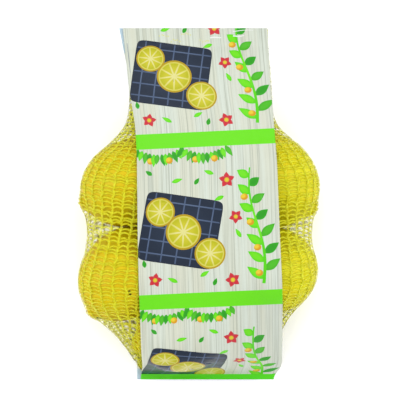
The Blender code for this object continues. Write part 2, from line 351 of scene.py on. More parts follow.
def relax(tube, bumps, trees, steps):
    """The net drawn tight: ribs and courses pull like threads, the lemons push out."""
    rows, count, _ = tube.shape
    ends = tube[[0, -1]].copy()
    course_rest = 2 * REST_WIDTH / count
    wale_rest = WALE_LENGTH / (rows - 1)
    cell = wale_rest / course_rest  # so that a net of any fineness takes the same shape
    course_pull = cell * np.interp(np.linspace(0, 1, rows), PULL_PLACES, COURSE_PULL)[:, None, None]
    wale_pull = WALE_PULL / cell
    gain = NET_GAIN / (course_pull + wale_pull)
    for step in range(steps):
        course = np.roll(tube, -1, axis=1) - tube
        length = np.linalg.norm(course, axis=-1, keepdims=True)
        course = course * course_pull * np.maximum(1 - course_rest / np.maximum(length, 1e-9), 0)
        wale = tube[1:] - tube[:-1]
        length = np.linalg.norm(wale, axis=-1, keepdims=True)
        wale = wale * wale_pull * np.maximum(1 - wale_rest / np.maximum(length, 1e-9), 0)
        pull = course - np.roll(course, 1, axis=1)
        pull[1:-1] += wale[1:] - wale[:-1]
        tube = push_out(tube + gain * pull, bumps, 0)
        tube[..., 2] = np.maximum(tube[..., 2], SEAT)
        if step % 50 == 0 or step > steps - 8:
            tube = push_out(keep_between(tube, trees), bumps, 0)
        tube[[0, -1]] = ends
    return tube


def unit_normals(grid, closed):
    """Unit normals of a grid of points, across by along, by central differences."""
    along = np.gradient(grid, axis=0)
    if closed:
        across = np.roll(grid, -1, axis=1) - np.roll(grid, 1, axis=1)
    else:
        across = np.gradient(grid, axis=1)
    normal = np.cross(across, along)
    return normal / np.maximum(np.linalg.norm(normal, axis=-1, keepdims=True), 1e-12)


_shape = {}


def pack_shape():
    """Lemons, films and net in place, worked out once: a dict of bumps, front, back, tube and shift."""
    if not _shape:
        bumps = make_bumps()
        front = drape_band(FRONT_STATIONS, bumps, 1)
        back = drape_band(BACK_STATIONS, bumps, -1)
        trees = [surface_tree(front, 1), surface_tree(back, -1)]
        outer = front + FILM * unit_normals(front, False)
        outer[[0, 1, -2, -1]] = front[[0, 1, -2, -1]]
        lowest = min(front[..., 0].min(), outer[..., 0].min())
        shift = np.array([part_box("front_band")[0].x - lowest, 0.0, 0.0])
        _shape.update(bumps=bumps, front=front, back=back, trees=trees, shift=shift)
    return _shape


def net_tube():
    """The relaxed net as a grid of courses by ribs."""
    shape = pack_shape()
    if "tube" not in shape:
        tube = start_net()
        for number, steps in enumerate(NET_ROUNDS):
            if number:
                tube = refine(tube)
            tube = relax(tube, shape["bumps"], shape["trees"], steps)
        shape["tube"] = tube
    return shape["tube"]


# ------------------------------------------------------------------ lemons


def blossom_radius(theta, a, b):
    """A lemon's radius at an angle from its blossom end: an ellipsoid with a nipple, blended."""
    body = 1 / np.sqrt((np.cos(theta) / a) ** 2 + (np.sin(theta) / b) ** 2)
    centre = a + NIPPLE_REACH - NIPPLE_RADIUS
    inside = NIPPLE_RADIUS**2 - (centre * np.sin(theta)) ** 2
    nipple = centre * np.cos(theta) + np.sqrt(np.maximum(inside, 0))
    radius = np.where((inside > 0) & (theta < 1), np.maximum(body, nipple), body)
    for _ in range(6):
        radius[1:-1] = (radius[:-2] + 2 * radius[1:-1] + radius[2:]) / 4
    return radius


def fruit_grid(bump, rings, segments):
    """Points on a lemon, ring by ring from the blossom end to the stem end."""
    a, b, _ = bump.sizes
    theta = np.linspace(0, np.pi, rings + 1)
    phi = 2 * np.pi * np.arange(segments) / segments
    radius = blossom_radius(theta, a, b)
    stem = np.exp(-(((np.pi - theta) / 0.11) ** 2))  # shallow dimple round the stem end
    collar = np.exp(-(((np.pi - theta - 0.3) / 0.16) ** 2))
    radius = radius + 0.5 * MM * collar - 0.9 * MM * stem
    ways = np.stack(
        [
            np.broadcast_to(np.cos(theta)[:, None], (rings + 1, segments)),
            np.sin(theta)[:, None] * np.cos(phi),
            np.sin(theta)[:, None] * np.sin(phi),
        ],
        axis=-1,
    )
    return (ways * radius[:, None, None]) @ bump.axes + bump.centre


def press_flat(points, own, others):
    """Points of one lemon that reach into another, moved back to where both are pressed flat."""
    for other in others:
        def depth(places, bump):
            return np.linalg.norm((places - bump.centre) @ bump.axes.T / bump.sizes, axis=-1)

        inside = depth(points, other) < depth(points, own) + 0.004
        low, high = np.zeros(len(points)), np.ones(len(points))
        for _ in range(18):
            middle = (low + high) / 2
            places = own.centre + (points - own.centre) * middle[:, None]
            nearer = depth(places, other) < depth(places, own) + 0.004
            high = np.where(nearer, middle, high)
            low = np.where(nearer, low, middle)
        pressed = own.centre + (points - own.centre) * low[:, None]
        points = np.where(inside[:, None], pressed, points)
    return points


def make_lemon(name, number, peel, settings):
    """One lemon: its grid of points made uneven, pressed flat where it touches, with closed ends."""
    shape = pack_shape()
    bumps = shape["bumps"]
    own = bumps[2 * number]
    rings, segments = settings.rings, settings.segments
    grid = fruit_grid(own, rings, segments)
    points = np.concatenate([grid[:1, 0], grid[1:-1].reshape(-1, 3), grid[-1:, 0]])
    ways = points - own.centre
    ways /= np.linalg.norm(ways, axis=-1, keepdims=True)
    seed = Vector((11.0 * number, 5.0, 3.0))
    waves = [noise.noise(Vector(w) * 2.2 + seed) + 0.4 * noise.noise(Vector(w) * 6.0 + seed) for w in ways]
    points = points + ways * (settings.unevenness * (np.array(waves) - 0.9))[:, None]
    points = press_flat(points, own, [bumps[i] for i in range(0, len(bumps), 2) if i != 2 * number])
    points[:, 2] = np.maximum(points[:, 2], SEAT)
    faces = []
    for ring in range(rings):
        for i in range(segments):
            j = (i + 1) % segments
            upper, lower = 1 + (ring - 1) * segments, 1 + ring * segments
            if ring == 0:
                faces.append((0, lower + i, lower + j))
            elif ring == rings - 1:
                faces.append((upper + i, len(points) - 1, upper + j))
            else:
                faces.append((upper + i, lower + i, lower + j, upper + j))
    mesh = mesh_of(name, points + shape["shift"], faces)
    ripeness = mesh.attributes.new("ripeness", "FLOAT", "POINT")
    ripeness.data.foreach_set("value", np.full(len(points), list(LEMONS.values())[number][6]))
    item = new_object(name, mesh, [peel])
    return item


def peel_material(settings):
    """Ripe lemon peel under a thin wax.

    The eye sees a satin yellow skin with fine oil pores, greener or warmer from fruit to fruit and in soft
    patches, with a few brown rub marks and a painted shadow under the lower left lemon's nipple.
    """
    material, tree, shader = new_material("lemon_peel_waxed")
    place = add_node(tree, "ShaderNodeTexCoord").outputs["Object"]
    ripeness = add_node(tree, "ShaderNodeAttribute", {"attribute_name": "ripeness"}).outputs["Fac"]
    # soft patches of riper skin, about 15 mm across
    patches = add_node(
        tree, "ShaderNodeTexNoise", inputs={"Vector": place, "Scale": 1 / (15 * MM), "Detail": 3.0}
    )
    shifted = add_node(
        tree,
        "ShaderNodeMath",
        {"operation": "MULTIPLY_ADD"},
        {0: patches.outputs["Fac"], 1: 0.9, 2: -0.45},
    )
    ripe = add_node(
        tree,
        "ShaderNodeMath",
        {"operation": "ADD", "use_clamp": True},
        {0: ripeness, 1: shifted.outputs[0]},
    )
    skin = add_node(
        tree,
        "ShaderNodeMix",
        {"data_type": "RGBA"},
        {"Factor": ripe.outputs[0], "A": (*settings.green_skin, 1), "B": (*settings.ripe_skin, 1)},
    )
    # oil pores, one every 1.3 mm or so
    pores = add_node(
        tree,
        "ShaderNodeTexVoronoi",
        {"feature": "SMOOTH_F1"},
        {"Vector": place, "Scale": 1 / (1.3 * MM), "Smoothness": 0.4},
    )
    pit = add_node(
        tree,
        "ShaderNodeMapRange",
        inputs={"Value": pores.outputs["Distance"], "From Min": 0.1, "From Max": 0.45},
    )
    toned = add_node(
        tree,
        "ShaderNodeMix",
        {"data_type": "RGBA", "blend_type": "MULTIPLY"},
        {"Factor": 0.35, "A": skin.outputs["Result"], "B": (0.93, 0.86, 0.7, 1)},
    )
    colour = add_node(
        tree,
        "ShaderNodeMix",
        {"data_type": "RGBA"},
        {"Factor": pit.outputs["Result"], "A": toned.outputs["Result"], "B": skin.outputs["Result"]},
    ).outputs["Result"]
    shift = pack_shape()["shift"]
    # brown rub marks, and at the last place a painted shadow under the lower left lemon's nipple
    for x, y, z, radius, spot_colour in MARKS_AND_PAINTED_SHADOW:
        away = add_node(
            tree,
            "ShaderNodeVectorMath",
            {"operation": "DISTANCE"},
            {0: place, 1: (x * MM + shift[0], y * MM, z * MM)},
        )
        spot = add_node(
            tree,
            "ShaderNodeMapRange",
            {"interpolation_type": "SMOOTHSTEP"},
            {"Value": away.outputs["Value"], "From Min": radius * MM, "From Max": 0.5 * radius * MM},
        )
        colour = add_node(
            tree,
            "ShaderNodeMix",
            {"data_type": "RGBA"},
            {"Factor": spot.outputs["Result"], "A": colour, "B": srgb(spot_colour, 1)},
        ).outputs["Result"]
    relief = add_node(
        tree,
        "ShaderNodeBump",
        inputs={"Height": pit.outputs["Result"], "Strength": 0.5, "Distance": 0.15 * MM},
    )
    tree.links.new(colour, shader.inputs["Base Color"])
    tree.links.new(relief.outputs["Normal"], shader.inputs["Normal"])
    shader.inputs["Roughness"].default_value = 0.45
    shader.inputs["Specular IOR Level"].default_value = 0.15
    return material


# x, y, z (mm), radius (mm) and colour of the brown marks on the lower left lemon, and last of the painted shadow
# under its nipple
MARKS_AND_PAINTED_SHADOW = (
    (-43.7, -53.6, 53.6, 1.2, "#2e1e0c"),
    (-43.1, -55.6, 53.2, 1.4, "#241808"),
    (-45.1, -54.4, 53.3, 0.8, "#4a3216"),
    (-62.8, -59.1, 46.0, 1.3, "#a8741c"),
    # painted shadow under the lower left lemon's nipple
    (-63.3, -70.9, 32.2, 2.7, "#3f3416"),
)


def stem_material():
    """Dry stem end: grey-brown, fibrous and dull."""
    material, tree, shader = new_material("dry_stem_end")
    place = add_node(tree, "ShaderNodeTexCoord").outputs["Object"]
    fibre = add_node(tree, "ShaderNodeTexNoise", inputs={"Vector": place, "Scale": 1 / (0.8 * MM), "Detail": 4.0})
    colour = add_node(
        tree,
        "ShaderNodeMix",
        {"data_type": "RGBA"},
        {"Factor": fibre.outputs["Fac"], "A": srgb("#3b2a14", 1), "B": srgb("#7d6a35", 1)},
    )
    relief = add_node(
        tree, "ShaderNodeBump", inputs={"Height": fibre.outputs["Fac"], "Strength": 0.8, "Distance": 0.2 * MM}
    )
    tree.links.new(colour.outputs["Result"], shader.inputs["Base Color"])
    tree.links.new(relief.outputs["Normal"], shader.inputs["Normal"])
    shader.inputs["Roughness"].default_value = 0.85
    shader.inputs["Specular IOR Level"].default_value = 0.2
    return material


def make_stem_end(name, bump, material):
    """The five-lobed dry button in the dimple at a lemon's stem end."""
    a = bump.sizes[0]
    way, side, up = -bump.axes[0], bump.axes[1], bump.axes[2]
    level = a - 0.95 * MM
    count, points, faces = 40, [], []
    turn = 2 * np.pi * np.arange(count) / count
    lobes = 1 + 0.16 * np.cos(5 * turn)
    profile = ((1.9, -0.3), (2.0, 0.25), (1.6, 0.6), (0.9, 0.65), (0.45, 0.35))
    for reach, rise in profile:
        for angle, lobe in zip(turn, lobes):
            out = reach * MM * lobe
            spot = bump.centre + way * (level + rise * MM)
            points.append(spot + out * (np.cos(angle) * side + np.sin(angle) * up))
    points.append(bump.centre + way * (level - 0.3 * MM))
    points.append(bump.centre + way * (level + 0.3 * MM))
    for ring in range(len(profile) - 1):
        for i in range(count):
            j = (i + 1) % count
            faces.append((ring * count + i, ring * count + j, (ring + 1) * count + j, (ring + 1) * count + i))
    last = (len(profile) - 1) * count
    for i in range(count):
        j = (i + 1) % count
        faces.append((len(points) - 2, j, i))
        faces.append((len(points) - 1, last + i, last + j))
    mesh = mesh_of(name, np.array(points) + pack_shape()["shift"], faces)
    face_out(mesh)
    return new_object(name, mesh, [material])


def face_out(mesh):
    """A closed mesh's faces turned outwards."""
    shape = bmesh.new()
    shape.from_mesh(mesh)
    bmesh.ops.recalc_face_normals(shape, faces=shape.faces)
    shape.to_mesh(mesh)
    shape.free()


# ------------------------------------------------------------------ films


def finer(grid, factor):
    """The grid with factor times as many steps both ways, on smooth curves through the old points."""
    share = (np.arange(factor) / factor)[None, :, None, None]
    for _ in range(2):
        before = 2 * grid[:1] - grid[1:2]
        after = 2 * grid[-1:] - grid[-2:-1]
        padded = np.concatenate([before, grid, after])[:, None]
        p, q, r, s = padded[:-3], padded[1:-2], padded[2:-1], padded[3:]
        curve = 2 * q + (r - p) * share + (2 * p - 5 * q + 4 * r - s) * share**2
        curve = 0.5 * (curve + (3 * q - p - 3 * r + s) * share**3)
        grid = np.concatenate([curve.reshape(-1, *grid.shape[1:]), grid[-1:]])
        grid = np.swapaxes(grid, 0, 1)
    return grid


def crease_height(across, along, settings, seed):
    """How far the film's creases stand up at places given across and along it (mm)."""
    chance = np.random.default_rng(seed)
    height = np.zeros_like(across)
    length = along.max()
    for _ in range(settings.creases):
        # long soft creases, mostly near the free edges, that lean a little
        edge = chance.choice([-1, 1]) * chance.uniform(26, 43)
        middle = chance.uniform(0.1, 0.95) * length
        half = chance.uniform(12, 38)
        lean = chance.uniform(-0.06, 0.06)
        width = chance.uniform(0.7, 1.6)
        off = across - edge - lean * (along - middle)
        height += chance.uniform(0.12, 0.42) * np.exp(-((off / width) ** 2) - ((along - middle) / half) ** 2)
    for end, reach in ((0.0, 10.0), (length, 16.0)):
        # puckers that fan out from the welds
        near = np.exp(-(((along - end) / reach) ** 2)) * smooth_step(np.abs(along - end), 2.0, 7.0)
        waves = np.sin(across * 2 * np.pi / 9.0 + 1.3 * np.sin(across / 7.0 + end)) + 0.5
        height += 0.28 * near * np.maximum(waves, 0)
    return height


def make_film(sheet, side, settings, seed):
    """A band for the looks: a finer sheet, closer together in the welds, the front band with soft creases."""
    inner = finer(sheet, FILM_FINE)
    inner = push_out(inner, pack_shape()["bumps"], KNIT + CLEAR)
    steps = np.linalg.norm(np.diff(inner, axis=0), axis=-1).mean(axis=1)
    reach = np.concatenate([[0], np.cumsum(steps)]) / MM
    widths = np.ptp(inner[..., 0], axis=1) / MM
    share = np.linspace(-0.5, 0.5, inner.shape[1])
    across = widths[:, None] * share
    along = np.broadcast_to(reach[:, None], across.shape)
    normals = side * unit_normals(inner, False)
    from_foot, from_head = along - FOOT_WELD / MM, reach[-1] - HEAD_WELD / MM - along
    closing = np.maximum(1 - smooth_step(from_foot, 0, 14), 1 - smooth_step(from_head, 0, 18))
    inner = inner - np.array((0, 0, 1)) * side * PINCH * closing[..., None]
    if side > 0:
        inner = inner + normals * crease_height(across, along, settings, seed)[..., None] * MM
    else:
        inner[..., 2] = np.maximum(inner[..., 2], FILM - SKIN + SKIN)
    return Film(inner, side * unit_normals(inner, False), reach, widths, side)


def film_places(film, print_places):
    """Points and normals on a film for places given in its print's millimetres, across and along."""
    across, along = print_places[:, 0], print_places[:, 1] + PRINT_SLANT * print_places[:, 0]
    rows, columns, _ = film.inner.shape
    level = np.interp(along, film.reach, np.arange(rows))
    width = np.interp(level, np.arange(rows), film.widths)
    column = np.clip(across / width + 0.5, 0, 1) * (columns - 1)
    c = np.minimum(column.astype(int), columns - 2)
    fc = (column - c)[:, None]
    # the print runs straight across in plan, so each line of points along the film is read at its own row
    middle = film.inner[..., 1].mean(axis=1)
    y = np.interp(level, np.arange(rows), middle)
    own = np.stack([np.interp(y, film.inner[:, i, 1], np.arange(rows)) for i in range(columns)])
    results = []
    for grid in (film.inner, film.normals):
        sides = []
        for line in (c, c + 1):
            row = own[line, np.arange(len(y))]
            r = np.minimum(row.astype(int), rows - 2)
            fr = (row - r)[:, None]
            sides.append(grid[r, line] * (1 - fr) + grid[r + 1, line] * fr)
        results.append(sides[0] * (1 - fc) + sides[1] * fc)
    results[1] /= np.linalg.norm(results[1], axis=-1, keepdims=True)
    return results


def film_outline(film, step=1.5):
    """The film's cut outline in its print's millimetres, anticlockwise from the foot's left corner."""
    count = int(film.reach[-1] / step)
    along = np.linspace(0, film.reach[-1], count)
    half = np.interp(along, film.reach, film.widths) / 2
    wide = np.linspace(-0.5, 0.5, 60)[1:-1]
    foot = np.stack([wide * film.widths[0], np.zeros(58)], axis=1)
    head = np.stack([-wide * film.widths[-1], np.full(58, film.reach[-1])], axis=1)
    right = np.stack([half, along], axis=1)
    left = np.stack([-half, along], axis=1)[::-1]
    outline = np.concatenate([foot, right, head, left])
    outline[:, 1] -= PRINT_SLANT * outline[:, 0]
    return outline


def cut_film(film, shapes, step):
    """The film cut into triangles along every printed outline: places, triangles and top shape of each."""
    outline = film_outline(film)
    places = [outline]
    loops = [list(range(len(outline)))]
    total = len(outline)
    for shape in shapes:
        places.append(shape.outline)
        loops.append(list(range(total, total + len(shape.outline))))
        total += len(shape.outline)
    low, high = outline.min(axis=0), outline.max(axis=0)
    rows = np.arange(low[1], high[1], step * 0.87)
    columns = np.arange(low[0], high[0], step)
    grid = np.stack(np.meshgrid(columns, rows), axis=-1)
    grid[1::2, :, 0] += step / 2
    grid = grid.reshape(-1, 2)
    along = grid[:, 1] + PRINT_SLANT * grid[:, 0]
    half = np.interp(along, film.reach, film.widths) / 2
    inside = (np.abs(grid[:, 0]) < half - 0.5) & (along > 0.5) & (along < film.reach[-1] - 0.5)
    places.append(grid[inside])
    every = [Vector((float(x), float(y))) for x, y in np.concatenate(places)]
    found = delaunay_2d_cdt(every, [], loops, 0, 1e-5, True)
    points = np.array([tuple(v) for v in found[0]])
    triangles, top = [], []
    for face, owners in zip(found[2], found[5]):
        if 0 in owners:
            triangles.append(face)
            top.append(max(owners))
    return points, np.array(triangles), np.array(top)


def film_object(name, film, shapes, inks, step=1.4, through=False):
    """A film band as one closed skin, its outer side, or both, cut and coloured along the print."""
    places, triangles, top = cut_film(film, shapes, step)
    spots, normals = film_places(film, places)
    inner = spots
    outer = spots + normals * SKIN
    if film.side < 0:
        lying = inner[:, 2] < FILM + 0.05 * MM
        inner = np.where(lying[:, None], inner * (1, 1, 0) + (0, 0, SKIN), inner)
        outer[lying] = inner[lying] * (1, 1, 0)
        outer[:, 2] = np.maximum(outer[:, 2], 0)
    total = len(places)
    corner = places[triangles]
    turned = np.cross(corner[:, 1] - corner[:, 0], corner[:, 2] - corner[:, 0]) < 0
    triangles[turned] = triangles[turned][:, ::-1]
    if film.side < 0:
        triangles = triangles[:, ::-1]
    edges = {}
    for a, b, c in triangles:
        for i, j in ((a, b), (b, c), (c, a)):
            edges[(i, j)] = True
    rim = [(i, j) for i, j in edges if (j, i) not in edges]
    faces = [tuple(t) for t in triangles]
    faces += [(total + a, total + c, total + b) for a, b, c in triangles]
    faces += [(j, i, total + i, total + j) for i, j in rim]
    mesh = mesh_of(name, np.concatenate([outer, inner]) + pack_shape()["shift"], faces)
    names = list(inks)
    under = names.index("bare_film")
    index = [names.index(shapes[t - 1].ink) if t else names.index("boards") for t in top]
    index += index if through else [under] * len(triangles)
    index += [under] * len(rim)
    mesh.polygons.foreach_set("material_index", index)
    # print millimetres, over the film as a whole, for what runs through all of the print
    mesh.uv_layers.new(name="print")
    mesh.uv_layers.new(name="OFBake")
    mesh.attributes.new("shade", "FLOAT_VECTOR", "CORNER")
    corners = np.zeros(len(mesh.loops), dtype=int)
    mesh.loops.foreach_get("vertex_index", corners)
    spread = np.concatenate([places, places])[corners]
    mesh.uv_layers["print"].data.foreach_set("uv", ((spread + (60, 10)) / 320).ravel())
    # the film laid flat for baking: outer side, inner side, and the rim's faces in a column of their own
    low, high = places.min(axis=0), places.max(axis=0)
    flat = (spread - low) / (high - low) * (0.48, 0.99) + 0.005
    flat[corners >= total, 0] += 0.49
    stack = np.arange(len(rim))[:, None]
    rim_corners = 6 * len(triangles) + np.arange(4 * len(rim))
    flat[rim_corners, 0] = np.tile((0.985, 0.985, 0.995, 0.995), len(rim))
    flat[rim_corners, 1] = ((stack + (0.9, 0.1, 0.1, 0.9)) / len(rim)).ravel()
    mesh.uv_layers["OFBake"].data.foreach_set("uv", flat.ravel())
    own = np.zeros((len(corners), 3))
    starts = np.zeros(len(mesh.polygons), dtype=int)
    mesh.polygons.foreach_get("loop_start", starts)
    for number in range(len(triangles)):
        if top[number]:
            shape = shapes[top[number] - 1]
            at = slice(starts[number], starts[number] + 3)
            off = spread[at] - shape.centre
            turn = shape.turn
            own[at, 0] = (off[:, 0] * np.cos(turn) + off[:, 1] * np.sin(turn)) / shape.size[0]
            own[at, 1] = (off[:, 1] * np.cos(turn) - off[:, 0] * np.sin(turn)) / shape.size[1]
    mesh.attributes["shade"].data.foreach_set("vector", own.ravel())
    return new_object(name, mesh, list(inks.values()))


# ------------------------------------------------------------------ the print


def printed(outline, ink, centre, turn, size):
    """A printed shape, its outline turned anticlockwise."""
    x, y = outline.T
    if np.sum(x * np.roll(y, -1) - y * np.roll(x, -1)) < 0:
        outline = outline[::-1]
    return Shape(outline, ink, np.asarray(centre, float), turn, size)


def oval(u, v, half, tall, ink, turn=0.0, points=48, arc=(0.0, 360.0)):
    """An ellipse, or a part of one closed by a straight cut."""
    whole = arc[1] - arc[0] >= 360
    angle = np.radians(np.linspace(arc[0], arc[1], points, endpoint=not whole))
    turn = np.radians(turn)
    x, y = half * np.cos(angle), tall * np.sin(angle)
    outline = np.stack([u + x * np.cos(turn) - y * np.sin(turn), v + x * np.sin(turn) + y * np.cos(turn)], axis=1)
    return printed(outline, ink, (u, v), turn, (half, tall))


def leaf(u, v, length, width, turn, ink, fullness=0.8, points=14):
    """A pointed leaf that grows from (u, v) in the direction turn (degrees)."""
    share = np.linspace(0, 1, points)
    half = width / 2 * np.sin(np.pi * share**fullness)
    x = np.concatenate([share, share[-2:0:-1]]) * length
    y = np.concatenate([half, -half[-2:0:-1]])
    turn = np.radians(turn)
    outline = np.stack([u + x * np.cos(turn) - y * np.sin(turn), v + x * np.sin(turn) + y * np.cos(turn)], axis=1)
    centre = np.array((u + length / 2 * np.cos(turn), v + length / 2 * np.sin(turn)))
    return printed(outline, ink, centre, turn, (length / 2, width / 2))


def stroke(path, start, end, ink):
    """A line of the pen along a path, from one width to another."""
    path = np.asarray(path, float)
    way = np.gradient(path, axis=0)
    way /= np.linalg.norm(way, axis=1, keepdims=True)
    side = np.stack([-way[:, 1], way[:, 0]], axis=1)
    half = np.linspace(start, end, len(path))[:, None] / 2
    outline = np.concatenate([path + side * half, (path - side * half)[::-1]])
    return printed(outline, ink, path.mean(axis=0), 0.0, tuple(np.ptp(path, axis=0) / 2))


def bar(low, high, ink, reach=60.0, slant=0.0):
    """A plain stripe right across the film."""
    u = np.linspace(-reach, reach, 90)
    outline = np.concatenate(
        [np.stack([u, low - slant * u], axis=1), np.stack([u[::-1], high - slant * u[::-1]], axis=1)]
    )
    return printed(outline, ink, (0, (low + high) / 2), 0.0, (reach, (high - low) / 2))


def slice_of_lemon(u, v, radius, turn, cut=360.0, count=9):
    """A cut lemon: rind, pith and the segments of its pulp, whole or as a part wheel."""
    parts = [oval(u, v, radius, radius, "rind", turn, 56, (0, cut))]
    parts.append(oval(u, v, radius * 0.9, radius * 0.9, "pith", turn, 52, (0, cut)))
    step = cut / (count if cut >= 360 else count // 2)
    segment = np.linspace(-step / 2 + 3.2, step / 2 - 3.2, 9)
    for number in range(int(round(cut / step))):
        middle = np.radians(turn + step * (number + 0.5))
        angle = np.radians(turn + step * (number + 0.5) + segment)
        rim = np.stack([u + 0.82 * radius * np.cos(angle), v + 0.82 * radius * np.sin(angle)], axis=1)
        root = np.array([[u + 0.14 * radius * np.cos(middle), v + 0.14 * radius * np.sin(middle)]])
        outline = np.concatenate([root, rim])
        parts.append(printed(outline, "pulp", (u, v), middle, (radius, radius)))
    return parts


def branch(base, chance):
    """A leafy branch with yellow berries that climbs beside the film's right edge."""
    share = np.linspace(0, 1, 30)
    path = np.stack([33 - 6 * share + 2.5 * np.sin(share * 6.0), base + 9 + 72 * share], axis=1)
    parts = []
    for number in range(13):
        at = 0.04 + 0.073 * number
        spot = [np.interp(at, share, path[:, 0]), np.interp(at, share, path[:, 1])]
        lean = 38 if number % 2 else 142
        length = 13.0 - 0.4 * number + chance.uniform(-1, 1)
        ink = ("leaf_bright", "leaf_mid", "leaf_bright", "leaf_deep")[number % 4]
        parts.append(leaf(*spot, length, 5.4, lean + chance.uniform(-8, 8), ink, 0.85))
        if number % 3 == 1:
            parts.append(oval(spot[0] - 3.4, spot[1] - 1.5, 2.3, 2.0, "berry", points=20))
    parts.append(stroke(path, 2.0, 0.9, "leaf_bright"))
    return parts


def turned_box(middle, half, tall, turn, ink):
    """A rectangle turned by turn degrees round the point middle, with the corners just rounded."""
    lean = np.radians(turn)
    angle = np.radians(np.linspace(0, 360, 56, endpoint=False))
    x = half * np.sign(np.cos(angle)) * np.abs(np.cos(angle)) ** 0.16
    y = tall * np.sign(np.sin(angle)) * np.abs(np.sin(angle)) ** 0.16
    outline = np.stack([x * np.cos(lean) - y * np.sin(lean), x * np.sin(lean) + y * np.cos(lean)], axis=1)
    return printed(outline + middle, ink, middle, lean, (half, tall))


def checked_cloth(middle, half, tall, turn):
    """A dark blue cloth with a thin woven check."""
    parts = [turned_box(middle, half, tall, turn, "cloth")]
    lean = np.radians(turn)
    along, up = np.array((np.cos(lean), np.sin(lean))), np.array((-np.sin(lean), np.cos(lean)))
    for number in range(-2, 3):
        parts.append(turned_box(middle + along * half * 0.38 * number, 0.45, tall * 0.97, turn, "cloth_thread"))
        parts.append(turned_box(middle + up * tall * 0.38 * number, half * 0.97, 0.45, turn, "cloth_thread"))
    return parts


def blossom(u, v, radius, turn):
    """A small red flower of five petals with a yellow middle."""
    parts = [leaf(u, v, radius, 0.7 * radius, turn + 72 * number, "petal") for number in range(5)]
    parts.append(oval(u, v, 0.3 * radius, 0.3 * radius, "petal_heart", points=16))
    return parts


def garland(top, chance):
    """Two swags of hanging leaves with berries, below a stripe."""
    parts = []
    for left, right in ((-43.0, -15.0), (-15.0, 13.0)):
        for number in range(12):
            share = (number + 0.5) / 12
            u = left + (right - left) * share
            v = top - 4.5 * np.sin(np.pi * share)
            ink = ("leaf_deep", "leaf_bright", "leaf_mid")[number % 3]
            lean = -90 + 34 * (2 * share - 1) + chance.uniform(-10, 10)
            parts.append(leaf(u, v + 1.2, 7.5 + chance.uniform(-1, 1), 3.3, lean, ink))
            if number in (3, 8):
                parts.append(oval(u, v - 4.0, 2.1, 2.1, "berry", points=20))
    return parts


def motifs(base, seed):
    """One repeat of the print, above the green stripe whose middle is at base (mm along the film)."""
    chance = np.random.default_rng(seed)
    parts = checked_cloth(np.array((-17.5, base + 44.0)), 24.0, 21.5, -11)
    parts += slice_of_lemon(-29.5, base + 56.0, 9.0, 10)
    parts += slice_of_lemon(-15.5, base + 43.0, 11.0, 25)
    parts += slice_of_lemon(0.5, base + 29.0, 9.6, 5)
    parts += branch(base, chance)
    for u, v, radius, turn in ((12, 74, 5.0, 20), (17, 51, 4.4, 50), (-34, 14, 4.6, 5), (14, 12, 4.8, 35)):
        parts += blossom(u, base + v, radius, turn)
    for u, v, length, lean in LOOSE_LEAVES:
        ink = "leaf_bright" if length > 6 else "leaf_deep"
        parts.append(leaf(u, base + v, length, 2.6, lean + chance.uniform(-8, 8), ink))
    parts += garland(base + PRINT_PITCH - 5.6, chance)
    parts.append(bar(base - 5.2, base + 4.8, "stripe"))
    return parts


def weld_glints_shadow_and_net(end):
    """What shows at the head weld: painted glints where its creases catch the light, net through the film and a
    painted shadow along the film's left edge.
    """
    parts = []
    # painted glints: white strokes where the weld's creases catch the light
    for u, below, length, width in ((12.5, 6.0, 7.0, 0.9), (27.0, 5.0, 7.0, 0.8), (30.0, 1.6, 13.0, 0.5)):
        v = end - below - PRINT_SLANT * u
        path = np.stack([np.linspace(u - length / 2, u + length / 2, 9), np.full(9, v)], axis=1)
        path[:, 1] += 0.25 * np.sin(np.linspace(0, 5, 9) + u)
        parts.append(stroke(path, width, 0.6 * width, "weld_glint"))
    chance = np.random.default_rng(3)
    for middle, below in ((-20.0, 4.5), (-6.0, 4.0), (5.5, 8.5), (-13.0, 8.0)):
        for number in range(5):
            u = middle + 1.3 * (number - 2) + chance.uniform(-0.3, 0.3)
            v = end - below - PRINT_SLANT * u + chance.uniform(-0.9, 0.9)
            parts.append(oval(u, v, 0.55, 0.4, "net_through", points=10))
    # painted shadow that the film's raised left edge casts
    path = np.stack([np.linspace(-43.6, -42.8, 12), np.linspace(end - 7.5, end - 28, 12)], axis=1)
    parts.append(stroke(path, 0.5, 0.4, "edge_shade"))
    return parts


def whole_print(film):
    """All repeats of the print that reach onto the film."""
    rows = film.inner[..., 1].mean(axis=1) / MM
    start = np.interp(PRINT_START, rows, film.reach)
    shapes = []
    for number in (-2, -1, 0):
        shapes += motifs(start + PRINT_PITCH * number, 40 + number)
    shapes.append(bar(-6.0, 3.9, "hem", slant=PRINT_SLANT))
    shapes += weld_glints_shadow_and_net(film.reach[-1])
    low, high = -10.0, film.reach[-1] + 10.0
    return [s for s in shapes if s.outline[:, 1].max() > low and s.outline[:, 1].min() < high]


# across, along (mm), length and lean of the loose leaves in one repeat
LOOSE_LEAVES = (
    (-20, 12, 7.0, 150),
    (-6, 15, 6.5, 30),
    (2, 9, 5.0, 70),
    (-40, 22, 5.0, 100),
    (10, 64, 6.5, 200),
    (4, 78, 6.5, 160),
    (-22, 74, 7.0, 20),
    (-34, 79, 5.0, 140),
    (-8, 72, 5.0, 60),
    (20, 38, 6.5, 120),
)


FILM_SHEEN = 0.2  # specular level of the thin, printed film


def film_relief(tree):
    """The normal of thin film: faint hand-size ripples."""
    place = add_node(tree, "ShaderNodeTexCoord").outputs["Object"]
    ripples = add_node(
        tree, "ShaderNodeTexNoise", inputs={"Vector": place, "Scale": 1 / (9 * MM), "Detail": 3.0, "Roughness": 0.6}
    )
    bump = add_node(
        tree, "ShaderNodeBump", inputs={"Height": ripples.outputs["Fac"], "Strength": 0.6, "Distance": 0.7 * MM}
    )
    return bump.outputs["Normal"]


